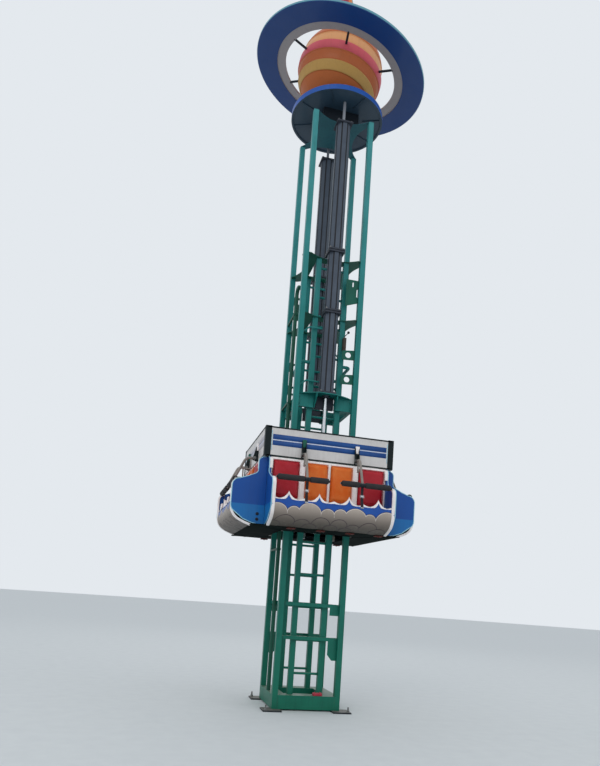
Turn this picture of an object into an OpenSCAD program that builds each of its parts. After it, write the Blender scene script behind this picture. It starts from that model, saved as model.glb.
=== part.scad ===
// Drop tower ride: four posts, two lift cylinders, a four-sided gondola with lap bars,
// and a ringed planet on top. Origin at ground level on the tower's axis, front towards -Y.

/* [Tower] */
// Distance between the centres of neighbouring posts
tower_pitch = 900; // [800:10:1000]
// Outer width of a square post
post_w = 80; // [60:2:90]
// Wall of a square post
post_wall = 5; // [3:1:8]
// Height of the post tops above the ground
post_top = 9100; // [8800:10:9600]
// Distance between the centres of the two inner columns of a face
column_pitch = 430; // [420:5:440]
// Outer width of an inner column
column_w = 76; // [60:2:80]
// Distance of the inner columns behind the posts' outer face
column_set = 148; // [146:1:160]
// Height of the upper tie plate
tie_upper_z = 6750; // [6400:10:7000]
// Height of the lower tie plate
tie_lower_z = 5800; // [5750:5:5800]
// Thickness of a tie plate
tie_t = 10; // [6:1:16]
// Distance between ladder rungs
rung_step = 470; // [300:10:520]
// Diameter of a ladder rung
rung_d = 36; // [24:1:40]
// Height of the lowest rung
rung_first = 500; // [420:10:600]
// Distance of the rungs behind the middle of the inner columns
rung_set = 16; // [12:1:20]
// Height of the upper cross bars
cross_bar_z = 1450; // [1300:10:1900]
// Height of the lower cross bars
cross_low_z = 975; // [700:5:1200]
// Depth of a cross bar and of a cylinder beam
bar_depth = 50; // [40:2:52]

/* [Base] */
// Height of the base frame's channels
base_h = 190; // [120:5:220]
// Width of a base channel
base_w = 200; // [190:5:210]
// Thickness of a foot plate
foot_t = 20; // [12:1:30]
// Width of a foot plate
foot_w = 260; // [240:5:280]
// Diameter of an anchor hole
anchor_d = 26; // [18:1:32]
// Distance from the axis to an anchor hole, along X and along Y
anchor_at = 590; // [560:5:600]

/* [Cylinders] */
// Distance of a cylinder's axis behind the posts' outer face
cylinder_set = 28; // [14:1:30]
// Width of the ribbed tube across its flats
tube_w = 214; // [200:2:220]
// Bore of the tube
tube_bore = 164; // [130:2:170]
// Depth of the grooves beside a tube's flats
tube_groove = 7; // [3:1:9]
// Height of a tube's foot
tube_bottom = 4600; // [4500:10:4700]
// Height of a tube's top
tube_top = 8930; // [8900:10:9000]
// Width of a square flange
flange_w = 250; // [240:2:256]
// Thickness of a flange
flange_t = 24; // [16:1:30]
// Height of the lower flange pair
flange_lower_z = 5820; // [5810:5:6000]
// Height of the upper flange pair
flange_upper_z = 6790; // [6770:5:7000]
// Diameter of the lift rod
rod_d = 50; // [40:1:54]
// Clearance of the lift rod in the foot flange
gland_gap = 1; // [0.5:0.1:2]
// Height of the beam that carries a cylinder
beam_h = 190; // [150:5:240]

/* [Crown] */
// Radius of the crown disc
disc_r = 745; // [700:5:850]
// Height of the crown disc's underside
disc_z = 9350; // [9320:5:9450]
// Depth of the crown disc's rim
disc_rim = 85; // [60:5:110]
// Radius of the planet
planet_r = 700; // [650:5:740]
// Height of the planet's centre
planet_z = 10190; // [10150:5:10300]
// Tilt of the planet and its ring
planet_tilt = 10.9; // [0:0.1:15]
// Outer radius of the ring
ring_outer = 1416; // [1350:2:1450]
// Radius where the blue board meets the grey band
ring_mid = 1065; // [1020:5:1100]
// Inner radius of the ring
ring_inner = 925; // [900:5:950]
// Thickness of the ring
ring_t = 46; // [30:1:60]
// Number of struts between planet and ring
strut_count = 6; // [4:1:8]
// Diameter of a strut
strut_d = 36; // [24:1:45]
// Radius of the rocket's body
rocket_r = 165; // [140:5:180]
// Height of the rocket's body, from its foot to its nose tip
rocket_h = 770; // [650:5:820]

/* [Gondola] */
// How far the header box stands out from the carriage's lower ring
header_out = 70; // [60:5:90]
// Height of the header panels' lower edge
header_bottom = 3470; // [3450:5:3480]
// Height of the header panels' upper edge
header_top = 3880; // [3840:5:3950]
// Thickness of a header panel
panel_t = 24; // [12:1:30]
// Width of a leg of the header's corner angles
corner_w = 84; // [50:2:100]
// Half of the outer width of the carriage's lower ring
carriage_half = 860; // [850:2:866]
// Width of a carriage tube
carriage_w = 80; // [60:2:84]
// Height of the carriage's lower ring
carriage_z = 2500; // [2490:5:2520]
// Clearance between neighbouring benches at the carriage's corners
corner_gap = 2; // [1:0.5:10]
// How far the rib between an inner and an outer seat stands off the seats' border
rib_shift = 15; // [5:1:25]
// Width of that rib
rib_w = 34; // [20:1:40]
// Thickness of a cheek
cheek_t = 28; // [18:1:34]
// Distance from the carriage's lower ring to the cheeks' front edge
cheek_reach = 468; // [462:1:475]
// Distance from the carriage's lower ring to the front lip
lip_reach = 394; // [388:1:396]
// Height of the front lip between its peaks
lip_z = 2872; // [2850:1:2890]
// Height of a peak above the lip
peak_h = 74; // [40:1:90]
// Wall of the bench shell
shell_t = 30; // [20:1:34]
// Depth of the bench's moulded back
back_t = 60; // [40:1:64]
// Depth of the front lip
lip_t = 46; // [40:1:50]
// Wall of the skirt
skirt_t = 14; // [8:1:18]
// Thickness of a back pad
pad_t = 70; // [40:1:80]
// Height of a back pad's lower edge above the seat
pad_rise = 200; // [180:5:230]

/* [Lap bars] */
// How far a lap bar's arm stands off the seats' border
arm_shift = 30; // [20:1:40]
// Diameter of the arm's tube
arm_d = 36; // [28:1:42]
// Bend radius of the arm
arm_bend = 100; // [80:1:110]
// Slope of the arm's long leg, from vertical
arm_lean = 25; // [20:1:30]
// Height of the pivot
pivot_z = 3520; // [3500:1:3540]
// Distance of the pivot in front of the header box
pivot_out = 55; // [50:1:65]
// Height of a bar bracket above the pivot
bracket_h = 200; // [150:5:220]
// Diameter of the pivot pin
pin_d = 20; // [16:1:24]
// Radial clearance of the pivot pin
pin_gap = 0.1; // [0.05:0.01:0.2]
// Height of the roller
roller_z = 3130; // [3120:1:3150]
// Diameter of a foam roller
roller_d = 80; // [60:1:84]
// Distance from the outer roller's end to the bench's end
roller_end = 45; // [40:1:90]
// Distance from the inner roller's end to the bench's middle
roller_mid = 95; // [85:1:130]
// Diameter of the brace's tube
brace_d = 22; // [16:1:26]
// Height of the brace
brace_z = 3355; // [3340:1:3380]

/* [Services] */
// Diameter of the U-shaped pipe between two columns
loop_d = 50; // [30:1:54]
// Height of that pipe
loop_z = 5090; // [4980:5:5200]
// Diameter of a hoop pipe
hoop_d = 26; // [16:1:30]
// Diameter of the cable conduit
conduit_d = 60; // [40:1:66]
// Height where the conduit's hook starts
conduit_top = 6250; // [6000:10:6400]
// Thickness of a bracket plate
plate_t = 10; // [6:1:14]
// Diameter of the hole in a bracket plate
plate_hole_d = 88; // [60:1:100]
// Height of the slotted bracket plate
slot_plate_h = 430; // [380:5:450]

/* [Hidden] */
$fn = 48;
// Turn of each side about the tower axis
FRONT = 0;
RIGHT = 90;
REAR = 180;
LEFT = 270;
SIDES = [FRONT, RIGHT, REAR, LEFT];
post_at = tower_pitch / 2;
face = post_at + post_w / 2;
inner_face = post_at - post_w / 2;
column_x = column_pitch / 2;
column_y = face - column_set;
bar_y = column_y + column_w / 2 + bar_depth;
cylinder_y = face - cylinder_set;
rung_y = column_y - rung_set;
column_top = tie_upper_z - tie_t / 2;
head_t = 12;
beam_top_t = 12;
beam_top = tube_bottom - flange_t;
beam_z = beam_top - beam_top_t - beam_h;
gland_r = rod_d / 2 + gland_gap;
seat_pitch = (carriage_half - cheek_t - corner_gap) / 2;
bench_half = seat_pitch * 2;
rib_x = seat_pitch - rib_shift;
arm_x = seat_pitch - arm_shift;
roller_outer = bench_half - roller_end - arm_x;
roller_inner = arm_x - roller_mid;
header_half = carriage_half + header_out;
ring_half = header_half - panel_t;
pivot_y = header_half + pivot_out;
carriage_inner = carriage_half - carriage_w;
seat_floor = 2700;
pan_under = seat_floor - shell_t;
back_y = carriage_half;
pad_y = back_y + back_t;
lip_y = carriage_half + lip_reach;
cheek_front = carriage_half + cheek_reach;
lip_foot = lip_z - 32;
rod_top = 6960;
shoe_gap = 2;
shoe_in = face + shoe_gap;
shoe_out = shoe_in + 40;
shoe_cut = 32;
upper_ring_z = header_top - 100;
conduit_x = conduit_d / 2 - face;
conduit_y = -30;
slot_plate_z = 6020;
HOLE_PLATES = [4868, 5250];
HOOPS = [4779, 5610];
planet_foot = planet_z - planet_r + 60;
planet_crown = planet_z + planet_r - 30;

// Points along an arc, from one angle to another
function arc(cx, cy, r, a0, a1, n = 8) = [for (i = [0:n]) let (a = a0 + (a1 - a0) * i / n)
    [cx + r * cos(a), cy + r * sin(a)]];

// Outline of a rectangle with round corners, centred on the origin
function round_rect(w, h, r, n = 6) = concat(
    arc(w / 2 - r, h / 2 - r, r, 0, 90, n), arc(-w / 2 + r, h / 2 - r, r, 90, 180, n),
    arc(-w / 2 + r, -h / 2 + r, r, 180, 270, n), arc(w / 2 - r, -h / 2 + r, r, 270, 360, n));

// A hollow square tube standing on z = 0, centred on x and y
module square_tube(w, wall, h) {
    difference() {
        translate([-w / 2, -w / 2, 0]) cube([w, w, h]);
        translate([wall - w / 2, wall - w / 2, -1]) cube([w - 2 * wall, w - 2 * wall, h + 2]);
    }
}

// The four sides of the ride, each turned about the tower axis
module each_side(sides = SIDES) {
    for (a = sides) rotate([0, 0, a]) children();
}

// A profile given as distance outwards and height, run along a side
module along_side(length) {
    rotate([90, 0, -90]) linear_extrude(height = length, center = true) children();
}

// A profile given as distance along a side and height, standing out from y to y + depth
module across_side(y, depth) {
    translate([0, -y, 0]) rotate([90, 0, 0]) linear_extrude(height = depth) children();
}

// Base frame: one channel between the posts on each side, on the foot plates
module base_frame() {
    color("#1e7d64") each_side() translate([-inner_face, -face, foot_t])
        cube([2 * inner_face, base_w, base_h]);
}

// Foot plates under the posts, each with one anchor hole outside the frame
module foot_plates() {
    inset = 90;
    color("#2d3741") for (sx = [-1, 1], sy = [-1, 1])
        translate([sx * (anchor_at - inset), sy * (anchor_at - inset), 0]) difference() {
            translate([-foot_w / 2, -foot_w / 2, 0]) cube([foot_w, foot_w, foot_t]);
            translate([sx * inset, sy * inset, -1]) cylinder(d = anchor_d, h = foot_t + 2);
        }
}

// Four square posts
module corner_posts() {
    color("#4a968c") for (sx = [-1, 1], sy = [-1, 1])
        translate([sx * post_at, sy * post_at, foot_t])
            square_tube(post_w, post_wall, post_top - foot_t);
}

// Two inner columns in the front face and two in the rear face
module inner_columns() {
    color("#2a8a72") for (sx = [-1, 1], sy = [-1, 1])
        translate([sx * column_x, sy * column_y, foot_t + base_h])
            square_tube(column_w, 4, column_top - foot_t - base_h);
}

// Ladder rungs between the inner columns
module ladder_rungs() {
    gap = column_pitch - column_w;
    color("#2a8a72") each_side([FRONT, REAR])
        for (z = [rung_first:rung_step:tie_upper_z - 100])
            if (abs(z - tie_lower_z) > 60)
                translate([-gap / 2, -rung_y, z]) rotate([0, 90, 0]) cylinder(d = rung_d, h = gap);
}

// Cross bars between the posts: two levels in front of the columns, one on the other sides,
// with a gusset plate under each bar of the front and rear
module cross_bars() {
    bar_h = 50;
    gusset_w = 130;
    color("#2a8a72") {
        each_side() translate([-inner_face, -bar_y, cross_bar_z]) cube([2 * inner_face, bar_depth, bar_h]);
        each_side([FRONT, REAR]) {
            translate([-inner_face, -bar_y, cross_low_z]) cube([2 * inner_face, bar_depth, bar_h]);
            translate([inner_face - gusset_w, plate_t - bar_y, 0]) rotate([90, 0, 0])
                linear_extrude(height = plate_t) {
                    translate([0, cross_bar_z - 110]) square([gusset_w, 110]);
                    polygon([[0, cross_low_z], [gusset_w, cross_low_z], [gusset_w, cross_low_z - 270],
                        [gusset_w / 2, cross_low_z - 270], [0, cross_low_z - 190]]);
                }
        }
    }
}

// Hollows in the four sides of a plate between the posts, each an arc of a large circle
module plate_bows(depth) {
    bow_r = 600;
    each_side() translate([0, depth - face - bow_r, -1]) cylinder(r = bow_r, h = 2 * tie_t + 2, $fn = 96);
}

// A tie plate: a ring with an arm to each post, notched for both cylinders
module tie_plate(z) {
    color("#1e7d64") translate([0, 0, z - tie_t / 2]) difference() {
        translate([-face, -face, 0]) cube([2 * face, 2 * face, tie_t]);
        translate([-240, -240, -1]) cube([480, 480, tie_t + 2]);
        for (sx = [-1, 1], sy = [-1, 1])
            translate([sx * post_at - post_w / 2, sy * post_at - post_w / 2, -1])
                cube([post_w, post_w, tie_t + 2]);
        plate_bows(130);
        for (sy = [-1, 1]) translate([0, sy * cylinder_y, -1])
            rotate([0, 0, 22.5]) cylinder(d = (tube_w + 2) / cos(22.5), h = tie_t + 2, $fn = 8);
    }
}

module tie_plate_upper() {
    tie_plate(tie_upper_z);
}

module tie_plate_lower() {
    difference() {
        tie_plate(tie_lower_z);
        for (sx = [-1, 1], sy = [-1, 1])
            translate([sx * column_x - column_w / 2, sy * column_y - column_w / 2, tie_lower_z - tie_t])
                cube([column_w, column_w, 2 * tie_t]);
    }
}

// Beams that carry the cylinders: a bowed top plate on two stubs and two ribs, and plain
// channels on the other two sides
module cylinder_beams() {
    stub_x = column_x - column_w / 2 - 7;
    stub = inner_face - stub_x;
    rib_t = 12;
    back = bar_y - bar_depth;
    under = beam_top - beam_top_t;
    reach = cylinder_y + flange_w / 2;
    near = cylinder_y - flange_w / 2 - 6;
    color("#2a8a72") each_side([LEFT, RIGHT])
        translate([-inner_face, -bar_y, beam_z]) cube([2 * inner_face, bar_depth, beam_h]);
    color("#2a8a72") each_side([FRONT, REAR]) {
        for (s = [-1, 1]) {
            translate([s > 0 ? stub_x : -inner_face, -bar_y, beam_z]) cube([stub, bar_depth, beam_h]);
            translate([s * (stub_x - rib_t), 0, 0]) along_side(rib_t) polygon([[back, beam_z],
                [bar_y, beam_z], [reach - 20, under - 60], [reach - 20, under], [back, under]]);
        }
        difference() {
            translate([0, 0, under]) linear_extrude(height = beam_top_t)
                polygon([[-stub_x, -near], [-stub_x, -back], [-inner_face, -back], [-inner_face, -bar_y],
                    [-0.8 * inner_face, -face], [-flange_w / 2 - 6, -reach], [flange_w / 2 + 6, -reach],
                    [0.8 * inner_face, -face], [inner_face, -bar_y], [inner_face, -back],
                    [stub_x, -back], [stub_x, -near]]);
            translate([0, -cylinder_y, beam_top - 2 * beam_top_t])
                cylinder(r = rod_d / 2 + 8, h = 3 * beam_top_t);
        }
    }
}

// Corners of one face of the ribbed tube: a raised flat between two grooves
function tube_face(turn) = [for (p = [[-40, -tube_groove], [-34, 0], [34, 0], [40, -tube_groove]])
    let (r = tube_w / 2 + p[1]) [r * cos(turn) - p[0] * sin(turn), r * sin(turn) + p[0] * cos(turn)]];

// A ribbed eight-sided tube with an open bore
module lift_tube() {
    h = tube_top - tube_bottom;
    difference() {
        linear_extrude(height = h) polygon([for (turn = [0:45:315]) each tube_face(turn)]);
        translate([0, 0, -1]) cylinder(d = tube_bore, h = h + 2);
    }
}

module front_cylinder() {
    color("#4b4e5c") translate([0, -cylinder_y, tube_bottom]) lift_tube();
}

module rear_cylinder() {
    color("#4b4e5c") translate([0, cylinder_y, tube_bottom]) lift_tube();
}

// Foot flanges with the rod gland, and top caps
module cylinder_flanges() {
    color("#3c3f4c") each_side([FRONT, REAR]) {
        translate([0, -cylinder_y, tube_bottom - flange_t]) difference() {
            translate([-flange_w / 2, -flange_w / 2, 0]) cube([flange_w, flange_w, flange_t]);
            translate([0, 0, -1]) cylinder(r = gland_r, h = flange_t + 2);
        }
        translate([-flange_w / 2, -cylinder_y - flange_w / 2, tube_top])
            cube([flange_w, flange_w, flange_t]);
        for (z = [flange_lower_z, flange_upper_z], s = [0, 1])
            translate([0, -cylinder_y, z + s * (flange_t + 10)]) difference() {
                translate([-flange_w / 2, -flange_w / 2, 0]) cube([flange_w, flange_w, flange_t]);
                rotate([0, 0, 22.5]) translate([0, 0, -1])
                    cylinder(d = (tube_w + 1) / cos(22.5), h = flange_t + 2, $fn = 8);
            }
    }
}

// Rods that hang the cylinders from the crown
module hanger_rods() {
    color("#b8bcc0") each_side([FRONT, REAR])
        translate([0, -cylinder_y, tube_top + flange_t])
            cylinder(d = 44, h = disc_z - tube_top - flange_t);
}

// Head plate on the post tops, hollowed on its four sides
module head_plate() {
    color("#1e6e5f") translate([0, 0, post_top]) difference() {
        translate([-face, -face, 0]) cube([2 * face, 2 * face, head_t]);
        plate_bows(180);
    }
}

// Neck between the head plate and the crown disc
module crown_neck() {
    neck_w = 580;
    neck_d = 560;
    wall = 30;
    color("#2d3741") translate([0, 0, post_top + head_t]) difference() {
        translate([-neck_w / 2, -neck_d / 2, 0]) cube([neck_w, neck_d, disc_z - post_top - head_t]);
        translate([wall - neck_w / 2, wall - neck_d / 2, -1])
            cube([neck_w - 2 * wall, neck_d - 2 * wall, disc_z - post_top]);
    }
}

// Round crown disc with a rim that stands below its plate
module crown_disc() {
    color("#2a4c96") translate([0, 0, disc_z]) rotate_extrude($fn = 96)
        polygon([[0, 0], [disc_r - 40, 0], [disc_r - 30, -18], [disc_r, -18],
            [disc_r, disc_rim - 24], [disc_r - 6, disc_rim - 18], [330, disc_rim - 10],
            [320, planet_foot - disc_z], [0, planet_foot - disc_z]]);
}

// Frame of the planet: everything in it leans with the ring
module planet_frame() {
    translate([0, 0, planet_z]) rotate([0, 0, -24]) rotate([0, planet_tilt, 0]) children();
}

// Planet: a ball in bands that step in and out
module planet() {
    bands = [-90, -34, -21.5, -8.5, 4, 17, 30, 43, 90];
    color("#aa6446") difference() {
        planet_frame() rotate_extrude($fn = 96) polygon([for (b = [0:len(bands) - 2])
            for (i = [0:4]) let (a = bands[b] + (bands[b + 1] - bands[b]) * i / 4,
                r = planet_r - ((b + 1) % 2) * 14) [max(0, r * cos(a)), r * sin(a)]]);
        translate([-planet_r, -planet_r, planet_foot - 200]) cube([2 * planet_r, 2 * planet_r, 200]);
        translate([-planet_r, -planet_r, planet_crown]) cube([2 * planet_r, 2 * planet_r, 200]);
    }
}

// Ring: a blue board with a grey band inside it
module planet_ring() {
    color("#233c6e") planet_frame() rotate_extrude($fn = 128)
        polygon([[ring_inner, -ring_t * 0.3], [ring_mid, -ring_t * 0.3], [ring_mid, -ring_t / 2],
            [ring_outer - 10, -ring_t / 2], [ring_outer, -ring_t / 4], [ring_outer, ring_t / 4],
            [ring_outer - 10, ring_t / 2], [ring_mid, ring_t / 2], [ring_mid, ring_t * 0.3],
            [ring_inner, ring_t * 0.3]]);
}

// Struts from the planet out to the ring
module ring_struts() {
    color("#262b33") difference() {
        planet_frame() for (i = [0:strut_count - 1]) rotate([0, 0, i * 360 / strut_count - 14])
            translate([planet_r - 60, 0, 0]) rotate([0, 90, 0])
                cylinder(d = strut_d, h = ring_inner - planet_r + 80);
        planet();
        planet_ring();
    }
}

// Rocket on the planet's top: a waisted stand, an ogive body and four swept fins
module rocket() {
    stand = rocket_r * 1.4;
    tail = rocket_r * 0.67;
    body = planet_crown + stand;
    belly = rocket_h * 0.34;
    nose = rocket_h - belly;
    ogive = (pow(nose, 2) + pow(rocket_r, 2)) / (2 * rocket_r);
    fin_t = 20;
    color("#cd6423") {
        translate([0, 0, planet_crown]) rotate_extrude() polygon([[0, 0], [tail * 0.8, 0],
            [tail * 0.55, stand * 0.26], [tail * 0.55, stand * 0.65], [tail, stand + 1], [0, stand + 1]]);
        translate([0, 0, body]) rotate_extrude() polygon(concat([[0, 0], [tail, 0]],
            [for (i = [1:6]) [tail + (rocket_r - tail) * sin(90 * i / 6), belly * i / 6]],
            [for (i = [1:9]) [sqrt(ogive * ogive - pow(nose * i / 10, 2)) - ogive + rocket_r,
                belly + nose * i / 10]],
            [[0, rocket_h]]));
        for (a = [0:90:270]) rotate([0, 0, a + 30]) translate([0, fin_t / 2, body]) rotate([90, 0, 0])
            linear_extrude(height = fin_t) polygon([[tail * 0.9, rocket_h * 0.01],
                [rocket_r * 1.6, -rocket_h * 0.1], [rocket_r * 1.88, -rocket_h * 0.08],
                [rocket_r * 1.82, rocket_h * 0.1], [rocket_r * 1.45, rocket_h * 0.25],
                [rocket_r * 0.85, belly]]);
    }
}

// Bracket plates on the inner side of a post: one with a slot and a notch, two with a round hole
module bracket_plates() {
    hole_x = inner_face - 100;
    top = slot_plate_z + slot_plate_h;
    low = slot_plate_z + 150;
    notch = 28;
    color("#1e7d64") each_side([FRONT, REAR]) translate([0, plate_t / 2 - post_at, 0]) rotate([90, 0, 0])
        linear_extrude(height = plate_t) {
            for (z = HOLE_PLATES) difference() {
                polygon([[column_x, z - 80], [inner_face, z - 70], [inner_face, z + 85],
                    [column_x, z + 60]]);
                translate([hole_x, z]) circle(d = plate_hole_d);
            }
            difference() {
                polygon([[column_x, slot_plate_z], [inner_face, slot_plate_z + 70], [inner_face, low],
                    [inner_face - notch, low + 20], [inner_face - notch, top - 150],
                    [inner_face, top - 130], [inner_face, top], [column_x, top]]);
                translate([hole_x, top - 110]) square([22, 75]);
            }
        }
}

// U-shaped pipes between the front and rear columns, and hoop pipes that lead to the cylinders
module service_pipes() {
    start = column_x + column_w / 2;
    bend = 50;
    run_x = inner_face - 40;
    hoop_y = face - 70;
    hoop_end = tube_w / 2 + 1;
    slope = 42;
    reach = 122;
    turn_x = reach - inner_face;
    leg_x = turn_x - bend * sin(slope);
    color("#2a8a72") each_side([FRONT, REAR]) {
        translate([0, 0, loop_z]) {
            for (s = [-1, 1]) {
                translate([start, s * column_y, 0]) rotate([0, 90, 0])
                    cylinder(d = loop_d, h = run_x - bend - start);
                translate([run_x - bend, s * (column_y - bend), 0]) rotate([0, 0, s > 0 ? 0 : -90])
                    rotate_extrude(angle = 90) translate([bend, 0]) circle(d = loop_d);
            }
            translate([run_x, bend - column_y, 0]) rotate([-90, 0, 0])
                cylinder(d = loop_d, h = 2 * (column_y - bend));
        }
        for (z = HOOPS) translate([0, -hoop_y, z]) {
            translate([turn_x, 0, 0]) rotate([0, 90, 0]) cylinder(d = hoop_d, h = -turn_x - hoop_end);
            translate([turn_x, 0, -bend]) rotate([90, 0, 0]) rotate([0, 0, 90])
                rotate_extrude(angle = slope) translate([bend, 0]) circle(d = hoop_d);
            intersection() {
                translate([leg_x, 0, bend * cos(slope) - bend]) rotate([0, 270 - slope, 0])
                    cylinder(d = hoop_d, h = (leg_x + inner_face) / cos(slope) + hoop_d);
                translate([-inner_face, -hoop_d, -2 * reach]) cube([2 * reach, 2 * hoop_d, 3 * reach]);
            }
        }
    }
}

// Cable conduit on the left side: it stands on the base frame, ends in a hook and is clamped to
// the rear post
module conduit() {
    foot = foot_t + base_h;
    hook = 90;
    clamp_h = 30;
    color("#2d3741") {
        translate([conduit_x, conduit_y, foot]) cylinder(d = conduit_d, h = conduit_top - foot);
        translate([conduit_x, conduit_y - hook, conduit_top]) rotate([90, 0, 90])
            rotate_extrude(angle = 150) translate([hook, 0]) circle(d = conduit_d);
        for (z = [cross_bar_z + 800, beam_z + 130, tie_lower_z + 120]) {
            translate([-face, conduit_y, z]) cube([conduit_d / 2, inner_face - conduit_y, clamp_h]);
            translate([-face, conduit_y - conduit_d / 2 - 8, z]) cube([conduit_d, conduit_d + 16, clamp_h]);
        }
    }
}

// Carriage rails on the front and rear: a lower and an upper tube on each
module carriage_rails_x() {
    color("#262b33") for (r = [[carriage_half, carriage_z], [ring_half, upper_ring_z]], s = [0, 180])
        rotate([0, 0, s]) translate([-r[0], -r[0], r[1]]) cube([2 * r[0], carriage_w, carriage_w]);
}

// Carriage rails on the left and right, between the ends of the others
module carriage_rails_y() {
    color("#262b33") for (r = [[carriage_half, carriage_z], [ring_half, upper_ring_z]], s = [0, 180])
        rotate([0, 0, s]) translate([-r[0], carriage_w - r[0], r[1]])
            cube([carriage_w, 2 * (r[0] - carriage_w), carriage_w]);
}

// Uprights at the corners, from the lower rails to the upper ones
module carriage_uprights() {
    at = carriage_half - carriage_w;
    color("#262b33") for (a = SIDES) rotate([0, 0, a])
        translate([at, at, carriage_z + carriage_w])
            cube([carriage_w, carriage_w, upper_ring_z - carriage_z - carriage_w]);
}

// Arms from the rails' corners to the guide shoes, and arms that carry the seats
module carriage_arms() {
    shoe_at = shoe_out - shoe_cut / 2;
    seat_reach = 320;
    color("#262b33") {
        for (a = SIDES, r = [[carriage_half, carriage_z], [ring_half, upper_ring_z]]) rotate([0, 0, a + 45])
            translate([0, 0, r[1]]) linear_extrude(height = carriage_w) polygon([[sqrt(2) * shoe_at, -22],
                [sqrt(2) * (r[0] - carriage_w) - 22, -22], [sqrt(2) * (r[0] - carriage_w), 0],
                [sqrt(2) * (r[0] - carriage_w) - 22, 22], [sqrt(2) * shoe_at, 22]]);
        each_side() for (x = [60 - bench_half, -arm_x, arm_x, bench_half - 60])
            translate([x, 0, 0]) along_side(40) polygon([[carriage_half, carriage_z + 10],
                [carriage_half + seat_reach, carriage_z + 110], [carriage_half + seat_reach, pan_under],
                [carriage_half, pan_under]]);
    }
}

// Guide shoes: angle blocks that run on the outer corners of the posts
module guide_shoes() {
    near = inner_face + 10;
    color("#d8d4c8") for (z = [carriage_z, upper_ring_z], a = SIDES)
        rotate([0, 0, a]) translate([0, 0, z]) linear_extrude(height = carriage_w)
            polygon([[near, shoe_in], [shoe_in, shoe_in], [shoe_in, near], [shoe_out, near],
                [shoe_out, shoe_out - shoe_cut], [shoe_out - shoe_cut, shoe_out], [near, shoe_out]]);
}

// Lift rods with their pistons, and the crossheads at their feet
module lift_rods() {
    color("#b8bcc0") each_side([FRONT, REAR]) {
        translate([0, -cylinder_y, carriage_z + 10])
            cylinder(d = rod_d, h = rod_top - carriage_z - 10);
        translate([0, -cylinder_y, rod_top - 80]) cylinder(d = tube_bore - 6, h = 80);
        translate([-50, -carriage_inner, carriage_z])
            cube([100, carriage_inner - cylinder_y + rod_d / 2, carriage_w]);
    }
}

// Header panels: one flat board on each side
module header_panels() {
    color("#cdc8c8") each_side()
        translate([-ring_half, -header_half, header_bottom])
            cube([2 * ring_half, panel_t, header_top - header_bottom]);
}

// Header corners: angle columns that close the box's corners
module header_corners() {
    color("#1c3a38") for (a = SIDES) rotate([0, 0, a])
        translate([-header_half - 4, -header_half - 4, header_bottom - 8]) difference() {
            cube([corner_w, corner_w, header_top - header_bottom + 18]);
            translate([4, 4, -1]) cube([corner_w, corner_w, header_top - header_bottom + 20]);
        }
}

// Brackets and pivot pins for the lap bars
module bar_brackets() {
    color("#1c3a38") each_side() for (s = [-1, 1]) translate([s * arm_x, 0, 0]) {
        for (c = [-1, 1]) translate([c * 26, 0, 0]) along_side(8)
            polygon(concat([[header_half, pivot_z + bracket_h], [header_half, pivot_z - 45]],
                arc(pivot_y, pivot_z, 28, -90, 60, 8), [[header_half + 24, pivot_z + bracket_h]]));
        translate([-38, -pivot_y, pivot_z]) rotate([0, 90, 0]) cylinder(d = pin_d, h = 76);
    }
}

// Bench shell profile: a deep back, a pan and a front upstand
module bench_profile() {
    polygon(concat([[back_y, pan_under], [lip_y + shell_t - 40, pan_under],
        [lip_y + shell_t, pan_under + 40],
        [lip_y + shell_t, lip_foot + 1], [lip_y, lip_foot + 1]],
        arc(lip_y - 60, seat_floor + 60, 60, 0, -90),
        arc(pad_y + 40, seat_floor + 40, 40, 270, 180),
        [[pad_y, header_bottom - 12], [back_y, header_bottom - 12]]));
}

// Height of the lip's edge, from a seat's side (t = 0) to its middle (t = 1)
function lip_edge(t) = lip_z - 22 * sin(180 * min(1, t * 1.25)) + peak_h * pow(t, 6);

// One side of a seat's lip, mirrored for the other side
module lip_half() {
    half = seat_pitch / 2;
    steps = 9;
    polygon(concat([[0, lip_foot], [-half, lip_foot]],
        [for (i = [0:steps]) [-half + (half - 6) * i / steps, lip_edge(i / steps)]],
        [[0, lip_edge(1)]]));
}

// One bench: the shell, its lip and three dividers between the seats
module bench() {
    color("#ebe1e1") {
        along_side(2 * bench_half) bench_profile();
        for (s = [-1.5:1:1.5]) translate([s * seat_pitch, 0, 0]) across_side(lip_y, lip_t) {
            lip_half();
            mirror([1, 0]) lip_half();
        }
        for (x = [-rib_x, 0, rib_x]) translate([x, 0, 0]) along_side(rib_w - 2)
            polygon([[pad_y - 1, seat_floor - 10], [lip_y + 1, seat_floor - 10],
                [lip_y + 1, lip_foot - 2], [pad_y + 110, lip_foot - 2], [pad_y + 40, lip_z + 60],
                [pad_y - 1, lip_z + 140]]);
    }
}

module bench_front() { rotate([0, 0, FRONT]) bench(); }
module bench_right() { rotate([0, 0, RIGHT]) bench(); }
module bench_rear() { rotate([0, 0, REAR]) bench(); }
module bench_left() { rotate([0, 0, LEFT]) bench(); }

// Outer line of the skirt, from under the lip to its lower edge
SKIRT = [for (p = [[0, -0.3], [16, -60], [18, -125], [-2, -190], [-58, -254], [-150, -302], [-260, -340]])
    [lip_y + lip_t + p[0], lip_foot + p[1]]];

// Skirt profile: a thin skin that bulges below the lip and turns under the bench
module skirt_profile() {
    n = len(SKIRT) - 1;
    polygon(concat(SKIRT, [for (i = [n:-1:0]) let (d = SKIRT[min(n, i + 1)] - SKIRT[max(0, i - 1)])
        SKIRT[i] + skirt_t * [d[1], -d[0]] / norm(d)]));
}

module skirts() {
    color("#234d9c") each_side() along_side(2 * bench_half) skirt_profile();
}

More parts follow.
